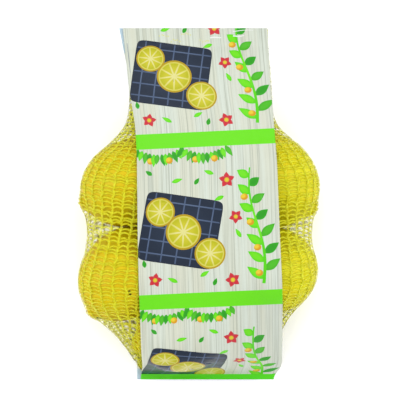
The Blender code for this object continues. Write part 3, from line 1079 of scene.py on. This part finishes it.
def ink_material(name, inner, outer, edge=1.0, focus=(0.0, 0.0), gloss=0.32):
    """A printed ink on polyethylene film: flat colour that turns towards its edge, under the film's own gloss."""
    material, tree, shader = new_material(name)
    own = add_node(tree, "ShaderNodeAttribute", {"attribute_name": "shade"}).outputs["Vector"]
    off = add_node(tree, "ShaderNodeVectorMath", {"operation": "DISTANCE"}, {0: own, 1: (*focus, 0)})
    turn = add_node(
        tree,
        "ShaderNodeMapRange",
        {"interpolation_type": "SMOOTHSTEP"},
        {"Value": off.outputs["Value"], "From Min": 0.35 * edge, "From Max": edge},
    )
    colour = add_node(
        tree,
        "ShaderNodeMix",
        {"data_type": "RGBA"},
        {"Factor": turn.outputs["Result"], "A": seen(inner, 1), "B": seen(outer, 1)},
    )
    tree.links.new(colour.outputs["Result"], shader.inputs["Base Color"])
    tree.links.new(film_relief(tree), shader.inputs["Normal"])
    shader.inputs["Roughness"].default_value = gloss
    shader.inputs["Specular IOR Level"].default_value = FILM_SHEEN
    return material


def film_inks(settings):
    """Every ink of the front film, by name."""
    inks = {"boards": board_material(settings), "bare_film": ink_material("bare_film", "#f4f6f1", "#f4f6f1")}
    for name, inner, outer, edge, focus in INKS:
        inks[name] = ink_material(name + "_ink", inner, outer, edge, focus)
    return inks


INKS = (
    ("cloth", "#273449", "#202c3f", 1.0, (0.0, 0.0)),
    ("cloth_thread", "#5d6f8d", "#4d5f7e", 1.0, (0.0, 0.0)),
    ("rind", "#cfc41c", "#bc9c14", 1.05, (0.0, 0.0)),
    ("pith", "#ebe694", "#ded75c", 1.0, (0.0, 0.0)),
    ("pulp", "#d6cf34", "#c0c01a", 0.9, (0.0, 0.0)),
    ("leaf_bright", "#76ea1e", "#5cda10", 1.0, (0.0, 0.0)),
    ("leaf_mid", "#52c426", "#49b520", 1.0, (0.0, 0.0)),
    ("leaf_deep", "#2fa41f", "#35b022", 1.0, (0.0, 0.0)),
    ("berry", "#f2d43a", "#e0a01c", 1.0, (-0.3, 0.3)),
    ("hem", "#4fe012", "#5ce41c", 1.0, (0.0, 0.0)),
    # painted glints on the head weld's creases
    ("weld_glint", "#fbfcfa", "#f4f6f2", 1.0, (0.0, 0.0)),
    ("net_through", "#dfe08c", "#dde2a8", 1.0, (0.0, 0.0)),
    # painted shadow along the front film's left edge
    ("edge_shade", "#8f98a0", "#a7afb2", 1.0, (0.0, 0.0)),
    ("stripe", "#72ea18", "#72ea18", 1.0, (0.0, 0.0)),
    ("petal", "#d6303c", "#cc4a54", 1.0, (0.0, 0.0)),
    ("petal_heart", "#e6d83c", "#dcb42c", 1.0, (0.0, 0.0)),
)


def board_material(settings):
    """Polyethylene film printed with whitewashed boards.

    The eye sees pale grey-green to cream boards about 13 mm wide with faint seams and fine lengthwise grain,
    under the film's soft gloss.
    """
    material, tree, shader = new_material("whitewashed_board_print")
    flat = add_node(tree, "ShaderNodeUVMap", {"uv_map": "print"}).outputs["UV"]
    in_mm = add_node(
        tree, "ShaderNodeMapping", inputs={"Vector": flat, "Scale": (320, 320, 1), "Location": (-60, -10, 0)}
    ).outputs["Vector"]
    colour = (*settings.board, 1)
    # size across and along (mm), where it sets in and is full, strength and colour of each kind of streak
    for across, along, start, full, strength, tint in (
        (9.0, 240.0, 0.42, 0.6, 0.7, settings.warm_board),
        (1.1, 70.0, 0.5, 0.72, 0.85, settings.grain),
        (0.5, 110.0, 0.56, 0.66, 0.6, settings.line),
    ):
        stretched = add_node(
            tree, "ShaderNodeMapping", inputs={"Vector": in_mm, "Scale": (1 / across, 1 / along, 1)}
        )
        streaks = add_node(
            tree,
            "ShaderNodeTexNoise",
            inputs={"Vector": stretched.outputs["Vector"], "Scale": 1.0, "Detail": 2.0},
        )
        share = add_node(
            tree,
            "ShaderNodeMapRange",
            inputs={
                "Value": streaks.outputs["Fac"],
                "From Min": start,
                "From Max": full,
                "To Max": strength,
            },
        )
        mixed = add_node(
            tree,
            "ShaderNodeMix",
            {"data_type": "RGBA"},
            {"Factor": share.outputs["Result"], "A": colour, "B": (*tint, 1)},
        )
        colour = mixed.outputs["Result"]
    parts = add_node(tree, "ShaderNodeSeparateXYZ", inputs={0: in_mm})
    place = add_node(
        tree, "ShaderNodeMath", {"operation": "MULTIPLY_ADD"}, {0: parts.outputs["X"], 1: 1 / 13.0, 2: 20.31}
    )
    share = add_node(tree, "ShaderNodeMath", {"operation": "FRACT"}, {0: place.outputs[0]})
    off = add_node(tree, "ShaderNodeMath", {"operation": "SUBTRACT"}, {0: share.outputs[0], 1: 0.5})
    away = add_node(tree, "ShaderNodeMath", {"operation": "ABSOLUTE"}, {0: off.outputs[0]})
    seam = add_node(
        tree,
        "ShaderNodeMapRange",
        {"interpolation_type": "SMOOTHSTEP"},
        {"Value": away.outputs[0], "From Min": 0.03, "From Max": 0.008, "To Max": 0.6},
    )
    colour = add_node(
        tree,
        "ShaderNodeMix",
        {"data_type": "RGBA"},
        {"Factor": seam.outputs["Result"], "A": colour, "B": (*settings.line, 1)},
    )
    tree.links.new(colour.outputs["Result"], shader.inputs["Base Color"])
    tree.links.new(film_relief(tree), shader.inputs["Normal"])
    shader.inputs["Roughness"].default_value = 0.34
    shader.inputs["Specular IOR Level"].default_value = FILM_SHEEN
    return material


# ------------------------------------------------------------------ the knitted net


def knit_tree():
    """Geometry Nodes that lay a flat tape along every thread of a net, swaying once for each stitch."""
    tree = bpy.data.node_groups.new("Knitted tape", "GeometryNodeTree")
    face = tree.interface
    face.new_socket("Threads", in_out="INPUT", socket_type="NodeSocketGeometry")
    sizes = (
        ("Tape width", 0.6 * MM),
        ("Tape thickness", 0.2 * MM),
        ("Sway", 0.25 * MM),
        ("Sway start", 0.0),
        ("Dip", 0.0),
        ("Lift", 0.2 * MM),
        ("Unevenness", 0.2 * MM),
    )
    for name, size in sizes:
        face.new_socket(name, in_out="INPUT", socket_type="NodeSocketFloat").default_value = size
    face.new_socket("Steps for each stitch", in_out="INPUT", socket_type="NodeSocketInt").default_value = 4
    face.new_socket("Cuts in each edge", in_out="INPUT", socket_type="NodeSocketInt").default_value = 3
    face.new_socket("Material", in_out="INPUT", socket_type="NodeSocketMaterial")
    face.new_socket("Tape", in_out="OUTPUT", socket_type="NodeSocketGeometry")
    given = add_node(tree, "NodeGroupInput").outputs
    lines = add_node(tree, "GeometryNodeMeshToCurve", inputs={"Mesh": given["Threads"]})
    fine = add_node(
        tree,
        "GeometryNodeSubdivideCurve",
        inputs={"Curve": lines.outputs["Curve"], "Cuts": given["Cuts in each edge"]},
    )
    index = add_node(tree, "GeometryNodeSplineParameter").outputs["Index"]
    turns = add_node(
        tree, "ShaderNodeMath", {"operation": "DIVIDE"}, {0: index, 1: given["Steps for each stitch"]}
    )
    angle = add_node(
        tree,
        "ShaderNodeMath",
        {"operation": "MULTIPLY_ADD"},
        {0: turns.outputs[0], 1: 2 * np.pi, 2: given["Sway start"]},
    )
    outward = add_node(
        tree, "GeometryNodeInputNamedAttribute", {"data_type": "FLOAT_VECTOR"}, {"Name": "outward"}
    ).outputs["Attribute"]
    tangent = add_node(tree, "GeometryNodeInputTangent").outputs["Tangent"]
    across = add_node(tree, "ShaderNodeVectorMath", {"operation": "CROSS_PRODUCT"}, {0: outward, 1: tangent})
    wave = add_node(tree, "ShaderNodeMath", {"operation": "SINE"}, {0: angle.outputs[0]})
    sway = add_node(
        tree, "ShaderNodeMath", {"operation": "MULTIPLY"}, {0: wave.outputs[0], 1: given["Sway"]}
    )
    sideways = add_node(
        tree, "ShaderNodeVectorMath", {"operation": "SCALE"}, {0: across.outputs[0], "Scale": sway.outputs[0]}
    )
    swing = add_node(tree, "ShaderNodeMath", {"operation": "COSINE"}, {0: angle.outputs[0]})
    rise = add_node(
        tree,
        "ShaderNodeMath",
        {"operation": "MULTIPLY_ADD"},
        {0: swing.outputs[0], 1: given["Dip"], 2: given["Lift"]},
    )
    up = add_node(
        tree, "ShaderNodeVectorMath", {"operation": "SCALE"}, {0: outward, "Scale": rise.outputs[0]}
    )
    place = add_node(tree, "GeometryNodeInputPosition").outputs["Position"]
    chance = add_node(
        tree, "ShaderNodeTexNoise", inputs={"Vector": place, "Scale": 1 / (4 * MM), "Detail": 1.0}
    )
    centred = add_node(
        tree,
        "ShaderNodeVectorMath",
        {"operation": "SUBTRACT"},
        {0: chance.outputs["Color"], 1: (0.5, 0.5, 0.5)},
    )
    uneven = add_node(
        tree,
        "ShaderNodeVectorMath",
        {"operation": "SCALE"},
        {0: centred.outputs[0], "Scale": given["Unevenness"]},
    )
    both = add_node(tree, "ShaderNodeVectorMath", {"operation": "ADD"}, {0: sideways.outputs[0], 1: up.outputs[0]})
    offset = add_node(tree, "ShaderNodeVectorMath", {"operation": "ADD"}, {0: both.outputs[0], 1: uneven.outputs[0]})
    swayed = add_node(
        tree,
        "GeometryNodeSetPosition",
        inputs={"Geometry": fine.outputs["Curve"], "Offset": offset.outputs[0]},
    )
    turned = add_node(
        tree,
        "GeometryNodeSetCurveNormal",
        {"mode": "FREE"},
        {"Curve": swayed.outputs["Geometry"], "Normal": outward},
    )
    ring = add_node(
        tree, "GeometryNodeCurvePrimitiveCircle", {"mode": "RADIUS"}, {"Resolution": 4, "Radius": 0.5}
    )
    flat = add_node(
        tree, "ShaderNodeCombineXYZ", inputs={"X": given["Tape thickness"], "Y": given["Tape width"], "Z": 1.0}
    )
    profile = add_node(
        tree,
        "GeometryNodeTransform",
        inputs={"Geometry": ring.outputs["Curve"], "Scale": flat.outputs["Vector"]},
    )
    tape = add_node(
        tree,
        "GeometryNodeCurveToMesh",
        inputs={"Curve": turned.outputs["Curve"], "Profile Curve": profile.outputs["Geometry"], "Fill Caps": True},
    )
    real = add_node(tree, "GeometryNodeRealizeInstances", inputs={"Geometry": tape.outputs["Mesh"]})
    made = add_node(
        tree,
        "GeometryNodeSetMaterial",
        inputs={"Geometry": real.outputs["Geometry"], "Material": given["Material"]},
    )
    add_node(tree, "NodeGroupOutput", inputs={"Tape": made.outputs["Geometry"]})
    return tree


def strayed(tube, reach):
    """The net with each stitch pulled a little out of its place, still round the lemons."""
    chance = np.random.default_rng(12)
    off = chance.normal(0, reach, tube.shape)
    off = (off + np.roll(off, 1, axis=1) + np.roll(off, -1, axis=1)) / 3
    normal = unit_normals(tube, True)
    off -= (off * normal).sum(axis=-1, keepdims=True) * normal
    off[[0, -1]] = 0
    moved = push_out(tube + off, pack_shape()["bumps"], 0)
    moved[..., 2] = np.maximum(moved[..., 2], SEAT)
    return moved


def welded_tube(tube):
    """The net's grid and its outward directions, with its flat ends carried on into both welds."""
    rows, count, _ = tube.shape
    outward = -unit_normals(tube, True)
    front = np.where((np.arange(count) > 0) & (np.arange(count) < count / 2), 1.0, -1.0)
    flat = np.zeros((count, 3))
    flat[:, 2] = front
    for row in (0, 1, -2, -1):
        outward[row] = flat * (WELD_SQUASH if row in (0, -1) else 0.7)
    parts, ways = [tube], [outward]
    for end, name, sign in ((tube[0], "foot", -1), (tube[-1], "head", 1)):
        steps = WELD_COURSES[name]
        length = (FOOT_WELD if name == "foot" else HEAD_WELD) - 1.0 * MM
        more = np.repeat(end[None], steps, axis=0)
        more[..., 1] += sign * (length * np.arange(1, steps + 1) / steps)[:, None]
        normals = WELD_SQUASH * np.repeat(flat[None], steps, axis=0)
        if name == "foot":
            parts.insert(0, more[::-1])
            ways.insert(0, normals)
        else:
            parts.append(more)
            ways.append(normals)
    return np.concatenate(parts), np.concatenate(ways)


def rounded_courses(points, ways, factor):
    """Courses with factor times as many points, laid round the lemons between the ribs."""
    hoops, hoop_ways = [], []
    for number in range(factor):
        share = number / factor
        hoops.append(points * (1 - share) + np.roll(points, -1, axis=1) * share)
        hoop_ways.append(ways * (1 - share) + np.roll(ways, -1, axis=1) * share)
    rows, count, _ = points.shape
    hoops = np.stack(hoops, axis=2).reshape(rows, count * factor, 3)
    hoop_ways = np.stack(hoop_ways, axis=2).reshape(rows, count * factor, 3)
    # a course that a lemon's tip pushes out takes its neighbours along
    bumps, straight = pack_shape()["bumps"], hoops
    for _ in range(14):
        off = push_out(hoops, bumps, 0) - straight
        off[1:-1] = 0.5 * off[1:-1] + 0.25 * (off[:-2] + off[2:])
        hoops = straight + off
    hoops = push_out(hoops, bumps, 0)
    hoops[..., 2] = np.maximum(hoops[..., 2], SEAT)
    return hoops, hoop_ways


def thread_mesh(name, points, ways, closed):
    """Each row of points as a thread, open or closed, with its outward directions."""
    rows, count, _ = points.shape
    edges = []
    for row in range(rows):
        edges += [(row * count + i, row * count + i + 1) for i in range(count - 1)]
        if closed:
            edges.append((row * count + count - 1, row * count))
    mesh = bpy.data.meshes.new(name)
    mesh.from_pydata([tuple(p) for p in points.reshape(-1, 3)], edges, [])
    outward = mesh.attributes.new("outward", "FLOAT_VECTOR", "POINT")
    outward.data.foreach_set("vector", ways.ravel())
    return mesh


def lay_tape(name, mesh, tree, sizes, material):
    """The tape that the node tree lays along a mesh of threads, as a plain mesh."""
    carrier = bpy.data.objects.new(name + "_threads", mesh)
    bpy.context.scene.collection.objects.link(carrier)
    modifier = carrier.modifiers.new("Knitted tape", "NODES")
    modifier.node_group = tree
    sockets = {s.name: s.identifier for s in tree.interface.items_tree if s.in_out == "INPUT"}
    for socket, value in sizes.items():
        modifier[sockets[socket]] = value
    modifier[sockets["Material"]] = material
    depsgraph = bpy.context.evaluated_depsgraph_get()
    made = bpy.data.meshes.new_from_object(carrier.evaluated_get(depsgraph))
    made.name = name
    bpy.data.objects.remove(carrier)
    made.shade_smooth()
    return made


def net_material(settings):
    """Polyethylene net tape, slit from film and knitted.

    The eye sees thin, satin lemon-yellow tape that lets some light through, paler where it is stretched.
    """
    material, tree, shader = new_material("knitted_polyethylene_tape")
    place = add_node(tree, "ShaderNodeTexCoord").outputs["Object"]
    blotch = add_node(tree, "ShaderNodeTexNoise", inputs={"Vector": place, "Scale": 1 / (3 * MM), "Detail": 2.0})
    tone = add_node(
        tree,
        "ShaderNodeMapRange",
        inputs={"Value": blotch.outputs["Fac"], "From Min": 0.3, "From Max": 0.7},
    )
    colour = add_node(
        tree,
        "ShaderNodeMix",
        {"data_type": "RGBA"},
        {"Factor": tone.outputs["Result"], "A": (*settings.tape, 1), "B": (*settings.pale_tape, 1)},
    )
    tree.links.new(colour.outputs["Result"], shader.inputs["Base Color"])
    shader.inputs["Roughness"].default_value = 0.45
    shader.inputs["Specular IOR Level"].default_value = 0.15
    shader.inputs["Alpha"].default_value = settings.body
    return material


# ------------------------------------------------------------------ properties


class LemonProperties(bpy.types.PropertyGroup):
    rings: bpy.props.IntProperty(
        name="Rings", description="Rings of a lemon's mesh from end to end", default=112, min=24
    )
    segments: bpy.props.IntProperty(
        name="Segments", description="Segments of a lemon's mesh round its axis", default=128, min=24
    )
    unevenness: bpy.props.FloatProperty(
        name="Unevenness",
        description="How far the peel waves in and out",
        default=0.45 * MM,
        min=0.0,
        subtype="DISTANCE",
        unit="LENGTH",
    )
    green_skin: bpy.props.FloatVectorProperty(
        name="Green-yellow skin",
        description="Peel of the least ripe fruit",
        default=srgb("#bdb804"),
        size=3,
        subtype="COLOR",
    )
    ripe_skin: bpy.props.FloatVectorProperty(
        name="Ripe skin", description="Peel of the ripest fruit", default=srgb("#be9a04"), size=3, subtype="COLOR"
    )


class FilmProperties(bpy.types.PropertyGroup):
    creases: bpy.props.IntProperty(
        name="Creases", description="Long soft creases in the front film", default=26, min=0
    )
    board: bpy.props.FloatVectorProperty(
        name="Boards", description="Whitewash of the printed boards", default=seen("#e0e9dc"), size=3, subtype="COLOR"
    )
    warm_board: bpy.props.FloatVectorProperty(
        name="Warm boards", description="Creamier streaks of them", default=seen("#dedfc9"), size=3, subtype="COLOR"
    )
    grain: bpy.props.FloatVectorProperty(
        name="Grain", description="Soft grain of the boards", default=seen("#c4cab9"), size=3, subtype="COLOR"
    )
    line: bpy.props.FloatVectorProperty(
        name="Seams", description="Finest grain and seams", default=seen("#a9afa0"), size=3, subtype="COLOR"
    )


class NetProperties(bpy.types.PropertyGroup):
    tape_width: bpy.props.FloatProperty(
        name="Tape width",
        description="Width of the tape that the net is knitted from",
        default=0.95 * MM,
        min=0.1 * MM,
        subtype="DISTANCE",
        unit="LENGTH",
    )
    tape_thickness: bpy.props.FloatProperty(
        name="Tape thickness",
        description="Thickness of the tape",
        default=0.15 * MM,
        min=0.02 * MM,
        subtype="DISTANCE",
        unit="LENGTH",
    )
    tape: bpy.props.FloatVectorProperty(
        name="Tape", description="Colour of the net's tape", default=srgb("#d6cd0a"), size=3, subtype="COLOR"
    )
    pale_tape: bpy.props.FloatVectorProperty(
        name="Stretched tape", description="Where the tape is paler", default=srgb("#e2e732"), size=3, subtype="COLOR"
    )
    body: bpy.props.FloatProperty(
        name="Body",
        description="How much one skin of the tape hides of what is behind it",
        default=0.37,
        min=0.0,
        max=1.0,
    )
    unevenness: bpy.props.FloatProperty(
        name="Unevenness",
        description="How far the tapes stray from their places",
        default=0.55 * MM,
        min=0.0,
        subtype="DISTANCE",
        unit="LENGTH",
    )
    sag: bpy.props.FloatProperty(
        name="Sag",
        description="How far each stitch hangs between two ribs",
        default=0.45 * MM,
        min=0.0,
        subtype="DISTANCE",
        unit="LENGTH",
    )


class StageProperties(bpy.types.PropertyGroup):
    floor: bpy.props.FloatVectorProperty(
        name="Floor", description="Colour of the floor", default=srgb("#fdfdfd"), size=3, subtype="COLOR"
    )
    sky: bpy.props.FloatProperty(
        name="Room light", description="Strength of the light from all round", default=1.0, min=0.0
    )
    lamp: bpy.props.FloatProperty(
        name="Soft boxes", description="Power of each soft box", default=12.4, min=0.0, unit="POWER"
    )


# ------------------------------------------------------------------ operators


class LEMONNET_OT_lemons(bpy.types.Operator):
    """Make the five lemons with their stem ends"""

    bl_idname = "lemon_net.lemons"
    bl_label = "Add lemons"

    def execute(self, context):
        settings = context.scene.lemon_fruit
        peel, stem = peel_material(settings), stem_material()
        bumps = pack_shape()["bumps"]
        for number, name in enumerate(LEMONS):
            lemon = make_lemon("lemon_" + name, number, peel, settings)
            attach(lemon, "root")
            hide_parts("filled_net")
            end = make_stem_end("stem_end_" + name, bumps[2 * number], stem)
            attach(end, "root")
        return {"FINISHED"}


class LEMONNET_OT_front_film(bpy.types.Operator):
    """Make the printed front film band"""

    bl_idname = "lemon_net.front_film"
    bl_label = "Add front film"

    def execute(self, context):
        settings = context.scene.lemon_film
        film = make_film(pack_shape()["front"], 1, settings, 7)
        band = film_object("front_film", film, whole_print(film), film_inks(settings))
        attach(band, "root")
        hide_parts("front_band")
        return {"FINISHED"}


class LEMONNET_OT_back_film(bpy.types.Operator):
    """Make the plain back film band"""

    bl_idname = "lemon_net.back_film"
    bl_label = "Add back film"

    def execute(self, context):
        settings = context.scene.lemon_film
        film = make_film(pack_shape()["back"], -1, settings, 8)
        inks = {
            "boards": ink_material("plain_film", "#e6e9e0", "#e6e9e0"),
            "bare_film": ink_material("bare_back_film", "#f0f2ec", "#f0f2ec"),
        }
        inks["blue_end"] = ink_material("blue_end_ink", "#c3dcea", "#d3e5ec")
        ends = [bar(-12, 9, "blue_end"), bar(film.reach[-1] - 14, film.reach[-1] + 12, "blue_end")]
        band = film_object("back_film", film, ends, inks, 2.0, True)
        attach(band, "root")
        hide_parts("back_band")
        return {"FINISHED"}


class LEMONNET_OT_net(bpy.types.Operator):
    """Knit the net: ribs along the pack and courses round it"""

    bl_idname = "lemon_net.net"
    bl_label = "Add knitted net"

    def execute(self, context):
        settings = context.scene.lemon_knit
        points, ways = welded_tube(strayed(net_tube(), 1.6 * settings.unevenness))
        hoops, hoop_ways = rounded_courses(points, ways, 3)
        points, hoops = points + pack_shape()["shift"], hoops + pack_shape()["shift"]
        tree, tape = knit_tree(), net_material(settings)
        rows, count, _ = points.shape
        sizes = {"Tape thickness": settings.tape_thickness, "Unevenness": settings.unevenness}
        # courses: one closed thread for each row, waving between the ribs
        for part, chosen in (("foot", slice(0, rows // 2)), ("head", slice(rows // 2, rows))):
            own = dict(
                sizes,
                **{
                    "Tape width": 1.5 * settings.tape_width,
                    "Sway": settings.sag,
                    "Sway start": np.pi / 2,
                    "Lift": 0.11 * MM,
                    "Steps for each stitch": 6,
                    "Cuts in each edge": 1,
                },
            )
            mesh = thread_mesh("courses", hoops[chosen], hoop_ways[chosen], True)
            made = lay_tape("net_courses_" + part, mesh, tree, own, tape)
            self.place(made)
        # ribs: two tapes that cross at every course, like the legs of a chain of stitches
        along, outward = points.swapaxes(0, 1), ways.swapaxes(0, 1)
        thirds = np.array_split(np.arange(count), 4)
        for part, chosen in zip(("right", "front", "left", "back"), thirds):
            shape = bmesh.new()
            for start in (0.0, np.pi):
                own = dict(
                    sizes,
                    **{
                        "Tape width": settings.tape_width,
                        "Sway": 0.55 * MM,
                        "Sway start": start,
                        "Dip": 0.07 * MM,
                        "Lift": 0.25 * MM,
                    },
                )
                mesh = thread_mesh("ribs", along[chosen], outward[chosen], False)
                shape.from_mesh(lay_tape("legs", mesh, tree, own, tape))
            made = bpy.data.meshes.new("net_ribs_" + part)
            shape.to_mesh(made)
            shape.free()
            made.materials.append(tape)
            self.place(made)
        return {"FINISHED"}

    @staticmethod
    def place(mesh):
        item = new_object(mesh.name, mesh)
        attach(item, "root")
        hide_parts("filled_net")


class LEMONNET_OT_stage(bpy.types.Operator):
    """Make the floor, the lights and the camera"""

    bl_idname = "lemon_net.stage"
    bl_label = "Add floor, light and camera"

    def execute(self, context):
        settings = context.scene.lemon_stage
        scene = context.scene
        half = 3.0
        corners = [(-half, -half, 0), (half, -half, 0), (half, half, 0), (-half, half, 0)]
        floor = new_object("floor", mesh_of("floor", corners, [(0, 1, 2, 3)]), [floor_material(settings)])
        world = bpy.data.worlds.new("soft_room")
        world.use_nodes = True
        world.node_tree.nodes["Background"].inputs["Color"].default_value = (1, 1, 1, 1)
        world.node_tree.nodes["Background"].inputs["Strength"].default_value = settings.sky
        scene.world = world
        for name, place, turn in (
            ("left_box", (-1.4, 0.1, 0.9), (0, -1.0, 0)),
            ("right_box", (1.4, 0.1, 0.9), (0, 1.0, 0)),
            ("top_box", (0, 0.9, 1.6), (-0.5, 0, 0)),
        ):
            light = bpy.data.lights.new(name, "AREA")
            light.shape = "SQUARE"
            light.size = 1.1
            light.energy = settings.lamp * (0.4 if name == "top_box" else 1.25)
            box = bpy.data.objects.new(name, light)
            box.location, box.rotation_euler = place, turn
            scene.collection.objects.link(box)
        lens = bpy.data.cameras.new("camera")
        lens.sensor_width = SENSOR
        lens.lens = SENSOR * EYE_HEIGHT / VIEW_WIDTH
        lens.clip_end = 20.0
        camera = bpy.data.objects.new("camera", lens)
        camera.location = (pack_shape()["shift"][0], AIM_UP, AIM_LEVEL + EYE_HEIGHT)
        scene.collection.objects.link(camera)
        scene.camera = camera
        scene.view_settings.view_transform = "Standard"
        return {"FINISHED"}


def floor_material(settings):
    """Matt painted board: near white, with the faintest unevenness."""
    material, tree, shader = new_material("matt_white_floor")
    place = add_node(tree, "ShaderNodeTexCoord").outputs["Object"]
    cloud = add_node(tree, "ShaderNodeTexNoise", inputs={"Vector": place, "Scale": 4.0, "Detail": 2.0})
    colour = add_node(
        tree,
        "ShaderNodeMix",
        {"data_type": "RGBA"},
        {"Factor": cloud.outputs["Fac"], "A": (*settings.floor, 1), "B": srgb("#fbfbfb", 1)},
    )
    tree.links.new(colour.outputs["Result"], shader.inputs["Base Color"])
    shader.inputs["Roughness"].default_value = 0.9
    return material


# ------------------------------------------------------------------ panel and registration

OPERATORS = (
    LEMONNET_OT_lemons,
    LEMONNET_OT_front_film,
    LEMONNET_OT_back_film,
    LEMONNET_OT_net,
    LEMONNET_OT_stage,
)
GROUPS = {
    "lemon_fruit": LemonProperties,
    "lemon_film": FilmProperties,
    "lemon_knit": NetProperties,
    "lemon_stage": StageProperties,
}


class LEMONNET_PT_panel(bpy.types.Panel):
    """The net of lemons, piece by piece"""

    bl_label = "Net of lemons"
    bl_idname = "LEMONNET_PT_panel"
    bl_space_type = "VIEW_3D"
    bl_region_type = "UI"
    bl_category = "Lemon net"

    def draw(self, context):
        for name, group in GROUPS.items():
            box = self.layout.box()
            for setting in group.__annotations__:
                box.prop(getattr(context.scene, name), setting)
        for operator in OPERATORS:
            self.layout.operator(operator.bl_idname)


def register():
    for kind in (*GROUPS.values(), *OPERATORS, LEMONNET_PT_panel):
        bpy.utils.register_class(kind)
    for name, group in GROUPS.items():
        setattr(bpy.types.Scene, name, bpy.props.PointerProperty(type=group))


def unregister():
    for name in GROUPS:
        delattr(bpy.types.Scene, name)
    for kind in (LEMONNET_PT_panel, *reversed(OPERATORS), *reversed(GROUPS.values())):
        bpy.utils.unregister_class(kind)


def main():
    register()
    for operator in OPERATORS:
        group, name = operator.bl_idname.split(".")
        getattr(getattr(bpy.ops, group), name)()


if __name__ == "__main__":
    main()
